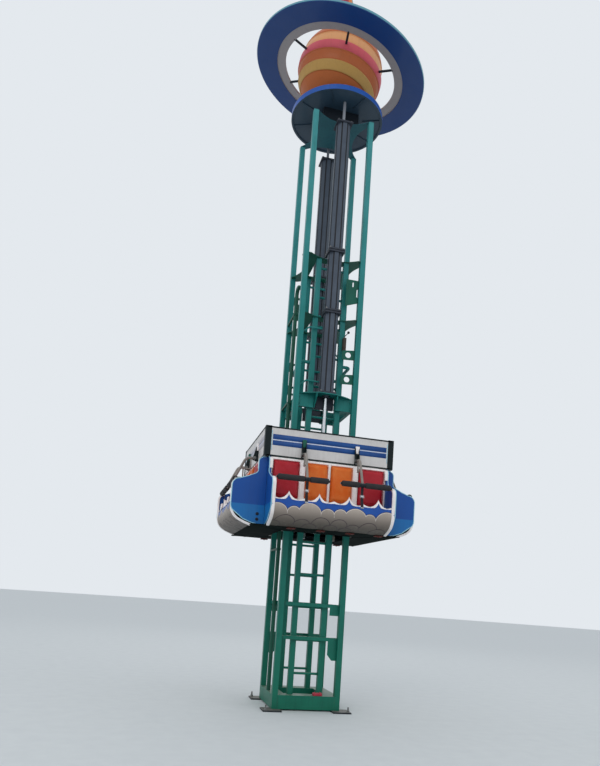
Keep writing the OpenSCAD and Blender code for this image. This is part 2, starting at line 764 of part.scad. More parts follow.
// Cheek profile: an ear by the header, a step, a shoulder and a round front
module cheek_profile() {
    r = 100;
    ear_r = 60;
    ear = carriage_half + 65;
    ear_z = header_bottom - 82;
    step = ear + 2 * ear_r;
    step_z = header_bottom - 200;
    polygon(concat([[carriage_half, carriage_z], [carriage_half, header_bottom - 12],
        [ear + 10, header_bottom - 14]],
        arc(ear, ear_z, ear_r, 70, 0, 6),
        arc(step, step_z, ear_r, 180, 250, 6),
        [[step + 75, step_z - 102], [cheek_front - r + 2, step_z - 142]],
        arc(cheek_front - r, step_z - 242, r, 80, 0, 8),
        arc(cheek_front - r, seat_floor + 60, r, 0, -60, 8),
        [[cheek_front - 178, carriage_z + 78], [cheek_front - 298, carriage_z + 35]]));
}

// Cheeks at the ends of the front and rear benches
module cheeks_x() {
    color("#194b96") each_side([FRONT, REAR]) for (s = [-1, 1])
        translate([s * (bench_half + cheek_t / 2 + 0.5), 0, 0]) along_side(cheek_t) cheek_profile();
}

// Cheeks at the ends of the left and right benches
module cheeks_y() {
    color("#194b96") each_side([LEFT, RIGHT]) for (s = [-1, 1])
        translate([s * (bench_half + cheek_t / 2 + 0.5), 0, 0]) along_side(cheek_t) cheek_profile();
}

// Back pads with round corners, between two distances from a bench's middle
module back_pads(x0, x1) {
    low = seat_floor + pad_rise;
    high = header_bottom - 50;
    each_side() for (s = [-1, 1]) translate([s * (x0 + x1) / 2, 0, (low + high) / 2])
        across_side(pad_y + 0.3, pad_t) polygon(round_rect(x1 - x0, high - low, 18));
}

module back_pads_red() {
    color("#a0232d") back_pads(rib_x + rib_w / 2, bench_half - 10);
}

module back_pads_orange() {
    color("#cd6423") back_pads(rib_w / 2, rib_x - rib_w / 2);
}

// Arm and T of one lap bar, seated on its pivot pin
module lap_bar(side, s) {
    straight = 50;
    bend_y = pivot_y + straight;
    end_y = bend_y + arm_bend * cos(arm_lean);
    end_z = pivot_z - arm_bend + arm_bend * sin(arm_lean);
    leg = (end_z - roller_z) / cos(arm_lean);
    tee_y = end_y + leg * sin(arm_lean);
    brace_y = bend_y - 5;
    color("#c8ccd0") rotate([0, 0, side]) translate([s * arm_x, 0, 0]) difference() {
        union() {
            translate([-18, -pivot_y, pivot_z]) rotate([0, 90, 0]) cylinder(d = 44, h = 36);
            translate([0, -pivot_y, pivot_z]) rotate([90, 0, 0]) cylinder(d = arm_d, h = straight);
            translate([0, -bend_y, pivot_z - arm_bend]) rotate([180, -90, 0])
                rotate_extrude(angle = 90 - arm_lean) translate([arm_bend, 0]) circle(d = arm_d);
            translate([0, -end_y, end_z]) rotate([180 - arm_lean, 0, 0]) cylinder(d = arm_d, h = leg);
            translate([0, -brace_y, brace_z]) cylinder(d = brace_d, h = pivot_z - brace_z);
            translate([0, -brace_y, brace_z]) sphere(d = brace_d);
            translate([0, -brace_y, brace_z]) rotate([90, 0, 0])
                cylinder(d = brace_d, h = end_y + (end_z - brace_z) * tan(arm_lean) - brace_y);
            translate([s > 0 ? -roller_inner - 22 : -roller_outer - 22, -tee_y, roller_z]) rotate([0, 90, 0])
                cylinder(d = 30, h = roller_outer + roller_inner + 44);
        }
        translate([-40, -pivot_y, pivot_z]) rotate([0, 90, 0]) cylinder(r = pin_d / 2 + pin_gap, h = 80);
    }
}

// Foam rollers on the T of one lap bar
module rollers(side, s) {
    end_z = pivot_z - arm_bend + arm_bend * sin(arm_lean);
    tee_y = pivot_y + 50 + arm_bend * cos(arm_lean) + (end_z - roller_z) * tan(arm_lean);
    color("#1c1c1e") rotate([0, 0, side]) translate([s * arm_x, -tee_y, roller_z]) {
        translate([s * 22, 0, 0]) rotate([0, s * 90, 0]) difference() {
            cylinder(d = roller_d, h = roller_outer - 22);
            translate([0, 0, -1]) cylinder(d = 30, h = roller_outer);
        }
        translate([-s * 22, 0, 0]) rotate([0, -s * 90, 0]) difference() {
            cylinder(d = roller_d, h = roller_inner - 22);
            translate([0, 0, -1]) cylinder(d = 30, h = roller_inner);
        }
    }
}

base_frame();
foot_plates();
corner_posts();
inner_columns();
ladder_rungs();
cross_bars();
tie_plate_lower();
tie_plate_upper();
cylinder_beams();
front_cylinder();
rear_cylinder();
cylinder_flanges();
hanger_rods();
head_plate();
crown_neck();
crown_disc();
planet();
planet_ring();
ring_struts();
rocket();
bracket_plates();
service_pipes();
conduit();
carriage_rails_x();
carriage_rails_y();
carriage_uprights();
carriage_arms();
guide_shoes();
lift_rods();
header_panels();
header_corners();
bar_brackets();
bench_front();
bench_right();
bench_rear();
bench_left();
skirts();
cheeks_x();
cheeks_y();
back_pads_red();
back_pads_orange();
lap_bar(FRONT, -1);  // lap_bar_front_1
lap_bar(FRONT, 1);  // lap_bar_front_2
lap_bar(RIGHT, -1);  // lap_bar_right_1
lap_bar(RIGHT, 1);  // lap_bar_right_2
lap_bar(REAR, -1);  // lap_bar_rear_1
lap_bar(REAR, 1);  // lap_bar_rear_2
lap_bar(LEFT, -1);  // lap_bar_left_1
lap_bar(LEFT, 1);  // lap_bar_left_2
rollers(FRONT, -1);  // rollers_front_1
rollers(FRONT, 1);  // rollers_front_2
rollers(RIGHT, -1);  // rollers_right_1
rollers(RIGHT, 1);  // rollers_right_2
rollers(REAR, -1);  // rollers_rear_1
rollers(REAR, 1);  // rollers_rear_2
rollers(LEFT, -1);  // rollers_left_1
rollers(LEFT, 1);  // rollers_left_2
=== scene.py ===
import math
import random

import bmesh
import bpy
from mathutils import Matrix, Vector, noise


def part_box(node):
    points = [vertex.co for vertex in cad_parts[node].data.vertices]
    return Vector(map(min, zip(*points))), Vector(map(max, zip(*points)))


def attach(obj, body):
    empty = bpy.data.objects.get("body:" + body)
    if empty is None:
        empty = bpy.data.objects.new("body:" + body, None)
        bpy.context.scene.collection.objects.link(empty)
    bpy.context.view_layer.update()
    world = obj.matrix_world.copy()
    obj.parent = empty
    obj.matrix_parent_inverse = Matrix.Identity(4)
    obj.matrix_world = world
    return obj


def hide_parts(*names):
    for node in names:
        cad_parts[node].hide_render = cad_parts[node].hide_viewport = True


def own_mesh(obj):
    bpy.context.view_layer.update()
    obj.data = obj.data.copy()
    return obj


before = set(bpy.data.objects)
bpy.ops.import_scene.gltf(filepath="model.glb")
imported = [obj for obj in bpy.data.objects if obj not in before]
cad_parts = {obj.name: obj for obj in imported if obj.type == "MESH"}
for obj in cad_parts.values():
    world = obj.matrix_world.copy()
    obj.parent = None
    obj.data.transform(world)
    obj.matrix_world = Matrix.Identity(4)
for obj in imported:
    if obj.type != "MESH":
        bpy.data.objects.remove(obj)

scene = bpy.context.scene
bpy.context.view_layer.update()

# The camera
# A visitor's camera at eye height, in front of the ride and to its left. It looks up and is held
# a little crooked, and its lens is shifted up so that the whole tower stays in the frame.
FRAME_H = 766
FOCAL_PX = 654
PRINCIPAL_Y = 517
SENSOR_MM = 36.0
EYE = Vector((-2.36, -9.60, 1.566))
AIM, PITCH, ROLL = math.radians(12.92), math.radians(7.03), math.radians(3.95)

forward = Vector((math.sin(AIM) * math.cos(PITCH), math.cos(AIM) * math.cos(PITCH), math.sin(PITCH)))
level = Vector((math.cos(AIM), -math.sin(AIM), 0.0))
upright = level.cross(forward)
right = math.cos(ROLL) * level + math.sin(ROLL) * upright
up = math.cos(ROLL) * upright - math.sin(ROLL) * level
camera = bpy.data.objects.new("visitor_camera", bpy.data.cameras.new("visitor_camera"))
scene.collection.objects.link(camera)
camera.matrix_world = Matrix.Translation(EYE) @ Matrix((right, up, -forward)).transposed().to_4x4()
camera.data.sensor_width = SENSOR_MM
camera.data.lens = FOCAL_PX / FRAME_H * SENSOR_MM
camera.data.shift_y = (PRINCIPAL_Y - FRAME_H / 2) / FRAME_H
camera.data.clip_end = 300.0
scene.camera = camera


# The studio
# A plain pale floor, a pale overcast surround and three large soft lights. Nothing here belongs
# to the ride: it gives the even light of a cloudy day, shown without a film curve.
def linear(code):
    """Turn an sRGB hex code such as #1E7D64 into a linear colour with alpha."""
    parts = [int(code[i:i + 2], 16) / 255 for i in (1, 3, 5)]
    return tuple(p / 12.92 if p <= 0.04045 else ((p + 0.055) / 1.055) ** 2.4 for p in parts) + (1.0,)


def add(tree, kind, sockets=None, **settings):
    """Add a node with its settings. Each socket is given a value, or the output that feeds it."""
    made = tree.nodes.new(kind)
    for key, value in settings.items():
        setattr(made, key, value)
    for key, value in (sockets or {}).items():
        if isinstance(value, bpy.types.NodeSocket):
            tree.links.new(value, made.inputs[key])
        else:
            made.inputs[key].default_value = value
    return made


def new_material(name):
    """A material, its node tree and its shader."""
    material = bpy.data.materials.new(name)
    material.use_nodes = True
    return material, material.node_tree, material.node_tree.nodes["Principled BSDF"]


def mottled(name, low, high, roughness, scale, detail=5.0, placed=True):
    """A material of two tones in soft patches, with its node tree, shader and place socket.

    The patches keep their size in metres, or spread over the piece's own box if placed is off."""
    material, tree, shader = new_material(name)
    where = add(tree, "ShaderNodeTexCoord").outputs["Object" if placed else "Generated"]
    patches = add(tree, "ShaderNodeTexNoise", {"Vector": where, "Scale": scale, "Detail": detail})
    tone = add(tree, "ShaderNodeMix", {"Factor": patches.outputs["Fac"], 6: linear(low), 7: linear(high)},
               data_type="RGBA")
    tree.links.new(tone.outputs[2], shader.inputs["Base Color"])
    shader.inputs["Roughness"].default_value = roughness
    return material, tree, shader, where


def finish_object(name, bm, material, smooth=40.0):
    """Make an object of a bmesh, shaded smooth up to an angle."""
    bmesh.ops.recalc_face_normals(bm, faces=bm.faces)
    mesh = bpy.data.meshes.new(name)
    bm.to_mesh(mesh)
    bm.free()
    mesh.materials.append(material)
    mesh.shade_smooth()
    mesh.set_sharp_from_angle(angle=math.radians(smooth))
    made = bpy.data.objects.new(name, mesh)
    scene.collection.objects.link(made)
    return made


world = bpy.data.worlds.new("overcast")
scene.world = world
world.use_nodes = True
world.node_tree.nodes["Background"].inputs["Color"].default_value = linear("#E4E9EE")
world.node_tree.nodes["Background"].inputs["Strength"].default_value = 1.0
scene.view_settings.view_transform = "Standard"

floor_finish = mottled("matt_studio_floor", "#C6CACC", "#D0D4D5", 0.9, 900.0, 3.0, placed=False)[0]
floor_bm = bmesh.new()
bmesh.ops.create_circle(floor_bm, cap_ends=True, segments=96, radius=90.0)
finish_object("studio_floor", floor_bm, floor_finish)

for name, place, size, power in (("key_light", (-9, -13, 14), 9, 520),
                                 ("fill_light", (12, -9, 9), 9, 120),
                                 ("back_light", (3, 12, 13), 8, 200)):
    lamp = bpy.data.lights.new(name, "AREA")
    lamp.size = size
    lamp.energy = power
    lamp.color = linear("#FFFDF8")[:3]
    holder = bpy.data.objects.new(name, lamp)
    holder.location = place
    holder.rotation_euler = (Vector((0, 0, 6)) - Vector(place)).to_track_quat("-Z", "Y").to_euler()
    scene.collection.objects.link(holder)


# The tower's steelwork
# Hollow square posts, ladder columns, tie plates and beams of mild steel, cut, welded and sprayed
# with green two-pack enamel on site. The coat is satin, chipped at edges and streaked by rain. On
# the posts, columns and beams the green is painted darker low down and paler higher up, as painted
# shade and painted light.
def coating(name, colour, faded, roughness=0.42, bare="#6B6A66", dirt="#3F4038", patch_mm=320, peel_mm=5,
            runs=0.35, chips=0.5, dust=0.3, coat=0.0, edge_mm=4, shine=0.3):
    """A sprayed or moulded opaque coat over steel or glass fibre, with its age on it.

    It goes from colour to faded in patches. Each is a hex code, or a function of the node tree and
    the place socket that gives a colour. Rain streaks carry dirt, and chipped edges show bare."""
    material, tree, shader = new_material(name)
    where = add(tree, "ShaderNodeTexCoord").outputs["Object"]
    paint, worn = (code(tree, where) if callable(code) else linear(code) for code in (colour, faded))
    patches = add(tree, "ShaderNodeTexNoise", {"Vector": where, "Scale": 1000 / patch_mm, "Detail": 5.0,
                  "Roughness": 0.62})
    fading = add(tree, "ShaderNodeMapRange", {"Value": patches.outputs["Fac"], "From Min": 0.38,
                 "From Max": 0.68, "To Max": 0.85})
    aged = add(tree, "ShaderNodeMix", {"Factor": fading.outputs["Result"], 6: paint, 7: worn},
               data_type="RGBA")
    # Rain streaks: noise pulled out along the vertical
    stretched = add(tree, "ShaderNodeMapping", {"Vector": where, "Scale": (26.0, 26.0, 1.3)})
    streaks = add(tree, "ShaderNodeTexNoise", {"Vector": stretched.outputs["Vector"], "Scale": 1.0,
                  "Detail": 4.0, "Roughness": 0.7})
    running = add(tree, "ShaderNodeMapRange", {"Value": streaks.outputs["Fac"], "From Min": 0.5,
                  "From Max": 0.78, "To Max": runs})
    rained = add(tree, "ShaderNodeMix", {"Factor": running.outputs["Result"], 6: aged.outputs[2],
                 7: linear(dirt)}, data_type="RGBA")
    # Dust lies on what faces up
    geometry = add(tree, "ShaderNodeNewGeometry")
    facing = add(tree, "ShaderNodeSeparateXYZ", {"Vector": geometry.outputs["Normal"]})
    settled = add(tree, "ShaderNodeMapRange", {"Value": facing.outputs["Z"], "From Min": 0.55,
                  "From Max": 1.0, "To Max": dust})
    dusty = add(tree, "ShaderNodeMix", {"Factor": settled.outputs["Result"], 6: rained.outputs[2],
                7: linear("#A29D90")}, data_type="RGBA")
    # Chips along the edges, where a rounded normal leaves the flat one
    rounded = add(tree, "ShaderNodeBevel", {"Radius": edge_mm / 1000}, samples=4)
    bent = add(tree, "ShaderNodeVectorMath", {0: rounded.outputs["Normal"],
               1: geometry.outputs["Normal"]}, operation="DOT_PRODUCT")
    edge = add(tree, "ShaderNodeMapRange", {"Value": bent.outputs["Value"], "From Min": 0.995,
               "From Max": 0.86})
    crumbs = add(tree, "ShaderNodeTexNoise", {"Vector": where, "Scale": 34.0, "Detail": 6.0,
                 "Roughness": 0.7})
    broken = add(tree, "ShaderNodeMapRange", {"Value": crumbs.outputs["Fac"], "From Min": 0.52,
                 "From Max": 0.6, "To Max": chips})
    chipped = add(tree, "ShaderNodeMath", {0: edge.outputs["Result"], 1: broken.outputs["Result"]},
                  operation="MULTIPLY")
    shown = add(tree, "ShaderNodeMix", {"Factor": chipped.outputs["Value"], 6: dusty.outputs[2],
                7: linear(bare)}, data_type="RGBA")
    tree.links.new(shown.outputs[2], shader.inputs["Base Color"])
    gloss = add(tree, "ShaderNodeMapRange", {"Value": patches.outputs["Fac"], "From Min": 0.3,
                "From Max": 0.75, "To Min": roughness - 0.06, "To Max": roughness + 0.16})
    tree.links.new(gloss.outputs["Result"], shader.inputs["Roughness"])
    peel = add(tree, "ShaderNodeTexNoise", {"Vector": where, "Scale": 1000 / peel_mm, "Detail": 2.0})
    relief = add(tree, "ShaderNodeBump", {"Height": peel.outputs["Fac"], "Strength": 0.25,
                 "Distance": 0.0004, "Normal": rounded.outputs["Normal"]})
    tree.links.new(relief.outputs["Normal"], shader.inputs["Normal"])
    shader.inputs["Specular IOR Level"].default_value = shine
    shader.inputs["Coat Weight"].default_value = coat
    shader.inputs["Coat Roughness"].default_value = 0.12
    return material


def dress(material, *names):
    """Give CAD nodes their finish."""
    for name in names:
        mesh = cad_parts[name].data
        mesh.materials.clear()
        mesh.materials.append(material)


def ramp(tree, value, stops, interpolation="CONSTANT"):
    """A colour ramp with stops of (place, hex code)."""
    made = add(tree, "ShaderNodeValToRGB", {"Fac": value})
    made.color_ramp.interpolation = interpolation
    elements = made.color_ramp.elements
    while len(elements) < len(stops):
        elements.new(0.5)
    for element, (place, code) in zip(elements, stops):
        element.position = place
        element.color = linear(code)
    return made.outputs["Color"]


def by_height(tree, where, low, high, stops, interpolation="LINEAR"):
    """A colour that depends on height, between two heights in metres."""
    parts = add(tree, "ShaderNodeSeparateXYZ", {"Vector": where})
    share = add(tree, "ShaderNodeMapRange", {"Value": parts.outputs["Z"], "From Min": low,
                "From Max": high})
    return ramp(tree, share.outputs["Result"], stops, interpolation)


def posts_shade_to_light(*codes):
    """A colour function: four greens, darker at the posts' feet as painted shade and paler at their tops as
    painted light.
    """
    stops = tuple(zip((0.0, 0.5, 0.75, 1.0), codes))
    return lambda tree, where: by_height(tree, where, 0, POST_TOP, stops)


POST_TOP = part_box("corner_posts")[1].z
RUST, SCUFFED = "#77513B", "#5E564D"
# The green goes from painted shade at the feet to painted light at the tops
green_enamel = coating("green_two_pack_enamel", posts_shade_to_light("#04624D", "#0C726D", "#227B7A", "#37888A"),
                       posts_shade_to_light("#0D6D56", "#1A7C77", "#308687", "#459396"), roughness=0.4, bare=RUST,
                       dirt="#0E3A30")
# The plates and feet have duller coats, and rust or old primer shows where they chip
shade_green = coating("green_enamel_on_plate", "#0B5546", "#155F50", roughness=0.45, bare=RUST,
                      dirt="#0D3029")
teal_enamel = coating("dull_teal_enamel", "#1E5560", "#286068", roughness=0.5, bare=RUST, dirt="#12292E")
dark_enamel = coating("blue_black_enamel", "#151C24", "#1E262F", roughness=0.5, bare=SCUFFED,
                      dirt="#14181C")
dress(green_enamel, "corner_posts", "inner_columns", "ladder_rungs", "cross_bars", "cylinder_beams",
      "service_pipes", "base_frame")
dress(shade_green, "tie_plate_lower", "tie_plate_upper", "bracket_plates")
dress(teal_enamel, "head_plate")
dress(dark_enamel, "foot_plates", "crown_neck", "ring_struts")
dark_green = coating("dark_green_conduit_enamel", "#0E4A3A", "#175545", roughness=0.5, bare=SCUFFED,
                     dirt="#0D3029")
dress(dark_green, "conduit")


def hex_bolt(bm, at, axis, across=0.024, head=0.015):
    """A hexagon head with a chamfer, on a washer, its seat at a point and its top along an axis."""
    turn = Vector(axis).to_track_quat("Z", "Y").to_matrix().to_4x4()
    place = Matrix.Translation(Vector(at)) @ turn
    rise = 0.0
    for sides, wide, narrow, thick in ((20, 0.95, 0.92, across * 0.12), (6, 0.577, 0.577, head * 0.8),
                                       (6, 0.577, 0.46, head * 0.2)):
        middle = place @ Matrix.Translation((0, 0, rise + thick / 2))
        bmesh.ops.create_cone(bm, cap_ends=True, segments=sides, radius1=across * wide,
                              radius2=across * narrow, depth=thick, matrix=middle)
        rise += thick


def block(bm, low, high, soft=0.002, place=Matrix.Identity(4)):
    """A box between two corners with softened edges, then moved to its place."""
    low, high = Vector(low), Vector(high)
    made = bmesh.ops.create_cube(bm, size=1.0, matrix=place @ Matrix.Translation((low + high) / 2)
                                 @ Matrix.Diagonal((*(high - low), 1.0)))
    edges = {e for v in made["verts"] for e in v.link_edges}
    bmesh.ops.bevel(bm, geom=list(edges), offset=soft, segments=2, profile=0.5, affect="EDGES")


def loft(bm, sections, caps=True):
    """A form through closed outlines of as many points each, closed at its ends unless caps is off."""
    rings = [[bm.verts.new(p) for p in outline] for outline in sections]
    for one, two in zip(rings, rings[1:]):
        for k in range(len(one)):
            after = (k + 1) % len(one)
            bm.faces.new((one[k], one[after], two[after], two[k]))
    if caps:
        bm.faces.new(rings[0][::-1])
        bm.faces.new(rings[-1])


def swept(bm, points, radius, sides=10, caps=True):
    """A round bar along points."""
    points = [Vector(p) for p in points]
    sections = []
    across = None
    for i, point in enumerate(points):
        ahead = (points[min(i + 1, len(points) - 1)] - points[max(i - 1, 0)]).normalized()
        if across is None:
            across = ahead.orthogonal().normalized()
        across = (across - ahead * across.dot(ahead)).normalized()
        other = ahead.cross(across)
        sections.append([point + radius * (math.cos(a) * across + math.sin(a) * other)
                         for a in (2 * math.pi * k / sides for k in range(sides))])
    loft(bm, sections, caps)


def turned(bm, profile, sides=64, place=Matrix.Identity(4)):
    """A lathe form: profile points of (radius, height) turned about Z. A radius of 0 closes it."""
    rings = []
    for radius, height in profile:
        if radius < 1e-6:
            rings.append([bm.verts.new(place @ Vector((0, 0, height)))])
        else:
            rings.append([bm.verts.new(place @ Vector((radius * math.cos(a), radius * math.sin(a), height)))
                          for a in (2 * math.pi * k / sides for k in range(sides))])
    for one, two in zip(rings, rings[1:]):
        for k in range(sides):
            nxt = (k + 1) % sides
            if len(one) == 1:
                bm.faces.new((one[0], two[nxt], two[k]))
            elif len(two) == 1:
                bm.faces.new((one[k], one[nxt], two[0]))
            else:
                bm.faces.new((one[k], one[nxt], two[nxt], two[k]))


# Zinc plate is bright grey with fine spangles, dulled to brown by weather
zinc, tree, shader = new_material("zinc_plated_fixings")
shader.inputs["Metallic"].default_value = 1.0
shader.inputs["Roughness"].default_value = 0.38
spangle = add(tree, "ShaderNodeTexVoronoi", {"Scale": 180.0})
tone = add(tree, "ShaderNodeMix", {"Factor": spangle.outputs["Distance"], 6: linear("#8D9093"),
           7: linear("#6E6A62")}, data_type="RGBA")
tree.links.new(tone.outputs[2], shader.inputs["Base Color"])

# Anchor studs, flange bolts and plate bolts
# M24 studs with nuts hold the four foot plates and M16 bolts hold the cylinders' flanges, all
# zinc plated. The beams' M12 bolts were sprayed green with the steelwork.
CORNERS = ((-1, -1), (1, -1), (1, 1), (-1, 1))
M12, M24 = {"across": 0.018, "head": 0.010}, {"across": 0.036, "head": 0.022}
FOOT_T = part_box("foot_plates")[1].z
ANCHOR = 0.590
STUD_R, STUD_LENGTH, STUD_MIDDLE = 0.012, 0.050, 0.045
CYLINDER_Y = 0.462
FLANGE_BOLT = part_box("cylinder_flanges")[1].x - 0.024
FLANGE_TOPS = (4.600, 5.878, 6.848, 8.954)
BAR_Y = 0.430
BEAM_BOLTS = ((0.390, 4.420), (0.390, 4.515), (0.392, 1.475), (0.392, 1.000))
tower_bolts, painted_bolts = bmesh.new(), bmesh.new()
for sx, sy in CORNERS:
    foot = Vector((sx * ANCHOR, sy * ANCHOR, FOOT_T))
    hex_bolt(tower_bolts, foot, (0, 0, 1), **M24)
    bmesh.ops.create_cone(tower_bolts, cap_ends=True, segments=16, radius1=STUD_R, radius2=STUD_R - 0.001,
                          depth=STUD_LENGTH, matrix=Matrix.Translation(foot + Vector((0, 0, STUD_MIDDLE))))
    for z in FLANGE_TOPS:
        for s in (-1, 1):
            hex_bolt(tower_bolts, (sx * FLANGE_BOLT, sy * CYLINDER_Y + s * FLANGE_BOLT, z), (0, 0, 1))
    for x, z in BEAM_BOLTS:
        hex_bolt(painted_bolts, (sx * x, sy * BAR_Y, z), (0, sy, 0), **M12)
bolts = finish_object("tower_bolts", tower_bolts, zinc, smooth=25)
green_bolts = finish_object("beam_bolts", painted_bolts, green_enamel, smooth=25)
for one, slot in ((bolts, "bright_rod"), (green_bolts, "green_paint")):
    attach(one, "tower")

# Weld beads
# Fillets laid round the rungs' ends and along the cross bars' and beams' ends, and painted over.
BEAD_R = 0.0045
RUNG_X, RUNG_Y, RUNG_R = 0.1762, 0.326, 0.0195
TIE_LOWER, TIE_UPPER = 5.800, 6.750
# No rung stands at the lower tie plate or close under the upper one
RUNG_HEIGHTS = [z for z in (0.500 + 0.470 * k for k in range(14))
                if abs(z - TIE_LOWER) > 0.060 and z < TIE_UPPER - 0.100]
BEAM_X = 0.4085
BEAM_ENDS = ((0.975, 1.025), (1.450, 1.500), (4.374, 4.564))
weld_bm = bmesh.new()
for sx, sy in CORNERS:
    for z in RUNG_HEIGHTS:
        loop = [(sx * RUNG_X, sy * RUNG_Y + RUNG_R * math.cos(a), z + RUNG_R * math.sin(a))
                for a in (2 * math.pi * m / 16 for m in range(18))]
        swept(weld_bm, loop, BEAD_R, sides=6, caps=False)
    for low, high in BEAM_ENDS:
        for depth in (BAR_Y - 0.0005, BAR_Y - 0.0495):
            swept(weld_bm, [(sx * BEAM_X, sy * depth, z) for z in (low, high)], BEAD_R, sides=6)
weld = finish_object("weld_beads", weld_bm, green_enamel)
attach(weld, "tower")

# Stop block and limit switch
# A red stop block is bolted on the front channel. A brown moulded limit switch with a lever hangs
# on a column beside the front cylinder and feels the carriage go by.
STOP_LOW, STOP_HIGH = (0.100, -0.470, 0.2105), (0.232, -0.405, 0.250)
SWITCH_LOW, SWITCH_HIGH = (0.222, -0.448, 5.320), (0.272, -0.3805, 5.520)
LID_LOW, LID_HIGH = (0.228, -0.452, 5.345), (0.266, -0.448, 5.495)
LEVER_R = 0.006
LEVER = ((0.247, -0.420, 5.522), (0.247, -0.420, 5.545), (0.285, -0.424, 5.590), (0.300, -0.424, 5.612))
WHEEL = ((0.0, -0.008), (0.018, -0.008), (0.020, -0.005), (0.020, 0.005), (0.018, 0.008), (0.0, 0.008))
WHEEL_AT = (0.300, -0.432, 5.612)
# The red enamel is rubbed dull, and the moulded plastic has a fine grain
stop_red = coating("red_enamel_stop", "#B3263A", "#A33448", roughness=0.45, bare=RUST, dirt="#4A1F24")
switch_brown = coating("brown_moulded_switch", "#3C332C", "#4A4038", roughness=0.55, bare="#8A7A6C",
                       dirt="#2E2621", chips=0.1, peel_mm=2)
stop_bm, switch_bm, lever_bm = bmesh.new(), bmesh.new(), bmesh.new()
block(stop_bm, STOP_LOW, STOP_HIGH, 0.004)
for x in (0.125, 0.207):
    hex_bolt(stop_bm, (x, (STOP_LOW[1] + STOP_HIGH[1]) / 2, STOP_HIGH[2]), (0, 0, 1), **M12)
block(switch_bm, SWITCH_LOW, SWITCH_HIGH, 0.005)
block(switch_bm, LID_LOW, LID_HIGH, 0.003)
swept(lever_bm, LEVER, LEVER_R)
turned(lever_bm, WHEEL, sides=20,
       place=Matrix.Translation(WHEEL_AT) @ Matrix.Rotation(math.pi / 2, 4, "X"))
for title, made, finish, slot in (("stop_block", stop_bm, stop_red, "red_vinyl"),
                                  ("limit_switch", switch_bm, switch_brown, "dark_steel"),
                                  ("switch_lever", lever_bm, dark_enamel, "dark_steel")):
    one = finish_object(title, made, finish)
    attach(one, "tower")


# Lift cylinders
# Two long ribbed tubes of extruded aluminium, powder coated slate grey, with cast flanges. The
# chromed rods slide in them and carry the gondola. Hanger rods hold the tubes from the crown.
def tube_colours_shaded_grooves(flat, groove_shade):
    """A colour function: flat on the tube's eight faces, and in the grooves at its corners a darker colour as
    painted shade.
    """
    def colours(tree, where):
        parts = add(tree, "ShaderNodeSeparateXYZ", {"Vector": where})
        depth = add(tree, "ShaderNodeMath", {0: parts.outputs["Y"]}, operation="ABSOLUTE")
        off = add(tree, "ShaderNodeMath", {0: depth.outputs["Value"], 1: CYLINDER_Y}, operation="SUBTRACT")
        angle = add(tree, "ShaderNodeMath", {0: off.outputs["Value"], 1: parts.outputs["X"]},
                    operation="ARCTAN2")
        share = add(tree, "ShaderNodeMath", {0: angle.outputs["Value"], 1: math.pi / 8}, operation="PINGPONG")
        inside = add(tree, "ShaderNodeMapRange", {"Value": share.outputs["Value"], "From Min": 0.275,
                     "From Max": 0.305})
        return add(tree, "ShaderNodeMix", {"Factor": inside.outputs["Result"], 6: linear(flat),
                   7: linear(groove_shade)}, data_type="RGBA").outputs[2]
    return colours


# Powder coat has a fine even grain and a low sheen. The grooves are painted near black, as painted shade in
# them.
slate = coating("slate_powder_coat", tube_colours_shaded_grooves("#434C59", "#12141B"), tube_colours_shaded_grooves("#505966", "#191B22"),
                roughness=0.46, dirt="#2E3039", runs=0.4, bare="#8A8C90", chips=0.2, peel_mm=3)
dark_slate = coating("slate_powder_coat_flange", "#2E333D", "#3A3F49", roughness=0.5, dirt="#24252B",
                     bare="#8A8C90", chips=0.4, peel_mm=3)
grey_paint = coating("grey_painted_rod", "#8F939B", "#7E828B", roughness=0.45, dirt="#3A3D45", chips=0.2)
# Hard chrome is a mirror, with smears of grease along it
chrome, tree, shader = new_material("hard_chromed_rod")
shader.inputs["Metallic"].default_value = 1.0
shader.inputs["Base Color"].default_value = linear("#C4C8CC")
smear = add(tree, "ShaderNodeTexNoise", {"Scale": 9.0, "Detail": 4.0})
gloss = add(tree, "ShaderNodeMapRange", {"Value": smear.outputs["Fac"], "To Min": 0.12, "To Max": 0.34})
tree.links.new(gloss.outputs["Result"], shader.inputs["Roughness"])
dress(slate, "front_cylinder", "rear_cylinder")
dress(dark_slate, "cylinder_flanges")
dress(chrome, "lift_rods")
dress(grey_paint, "hanger_rods")

# Gland collars and seal boxes
# A short cast collar under each cylinder holds the seal that the rod slides through. A box of dark
# painted sheet closes the space between the two beams behind the rod.
GLAND_BORE, GLAND_R, GLAND_FOOT = 0.031, 0.056, 4.530
BEAM_FOOT, BEAM_TOP = 4.378, 4.5635
BOX_HALF, BOX_IN, BOX_OUT = 0.146, 0.340, 0.390
gland_bm = bmesh.new()
for s in (-1, 1):
    foot = Matrix.Translation((0, s * CYLINDER_Y, 0)) @ Matrix.Rotation(math.pi / 8, 4, "Z")
    turned(gland_bm, [(GLAND_BORE, GLAND_FOOT), (GLAND_R - 0.006, GLAND_FOOT), (GLAND_R, GLAND_FOOT + 0.006),
                      (GLAND_R, BEAM_TOP), (GLAND_BORE, BEAM_TOP), (GLAND_BORE, GLAND_FOOT)],
           sides=24, place=foot)
    near, far = sorted((s * BOX_IN, s * BOX_OUT))
    block(gland_bm, (-BOX_HALF, near, BEAM_FOOT), (BOX_HALF, far, BEAM_TOP), 0.003)
    for x in (-0.110, 0.110):
        hex_bolt(gland_bm, (x, s * BOX_OUT, BEAM_FOOT + 0.022), (0, s, 0), **M12)
glands = finish_object("gland_collars", gland_bm, dark_slate, smooth=25)
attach(glands, "tower")


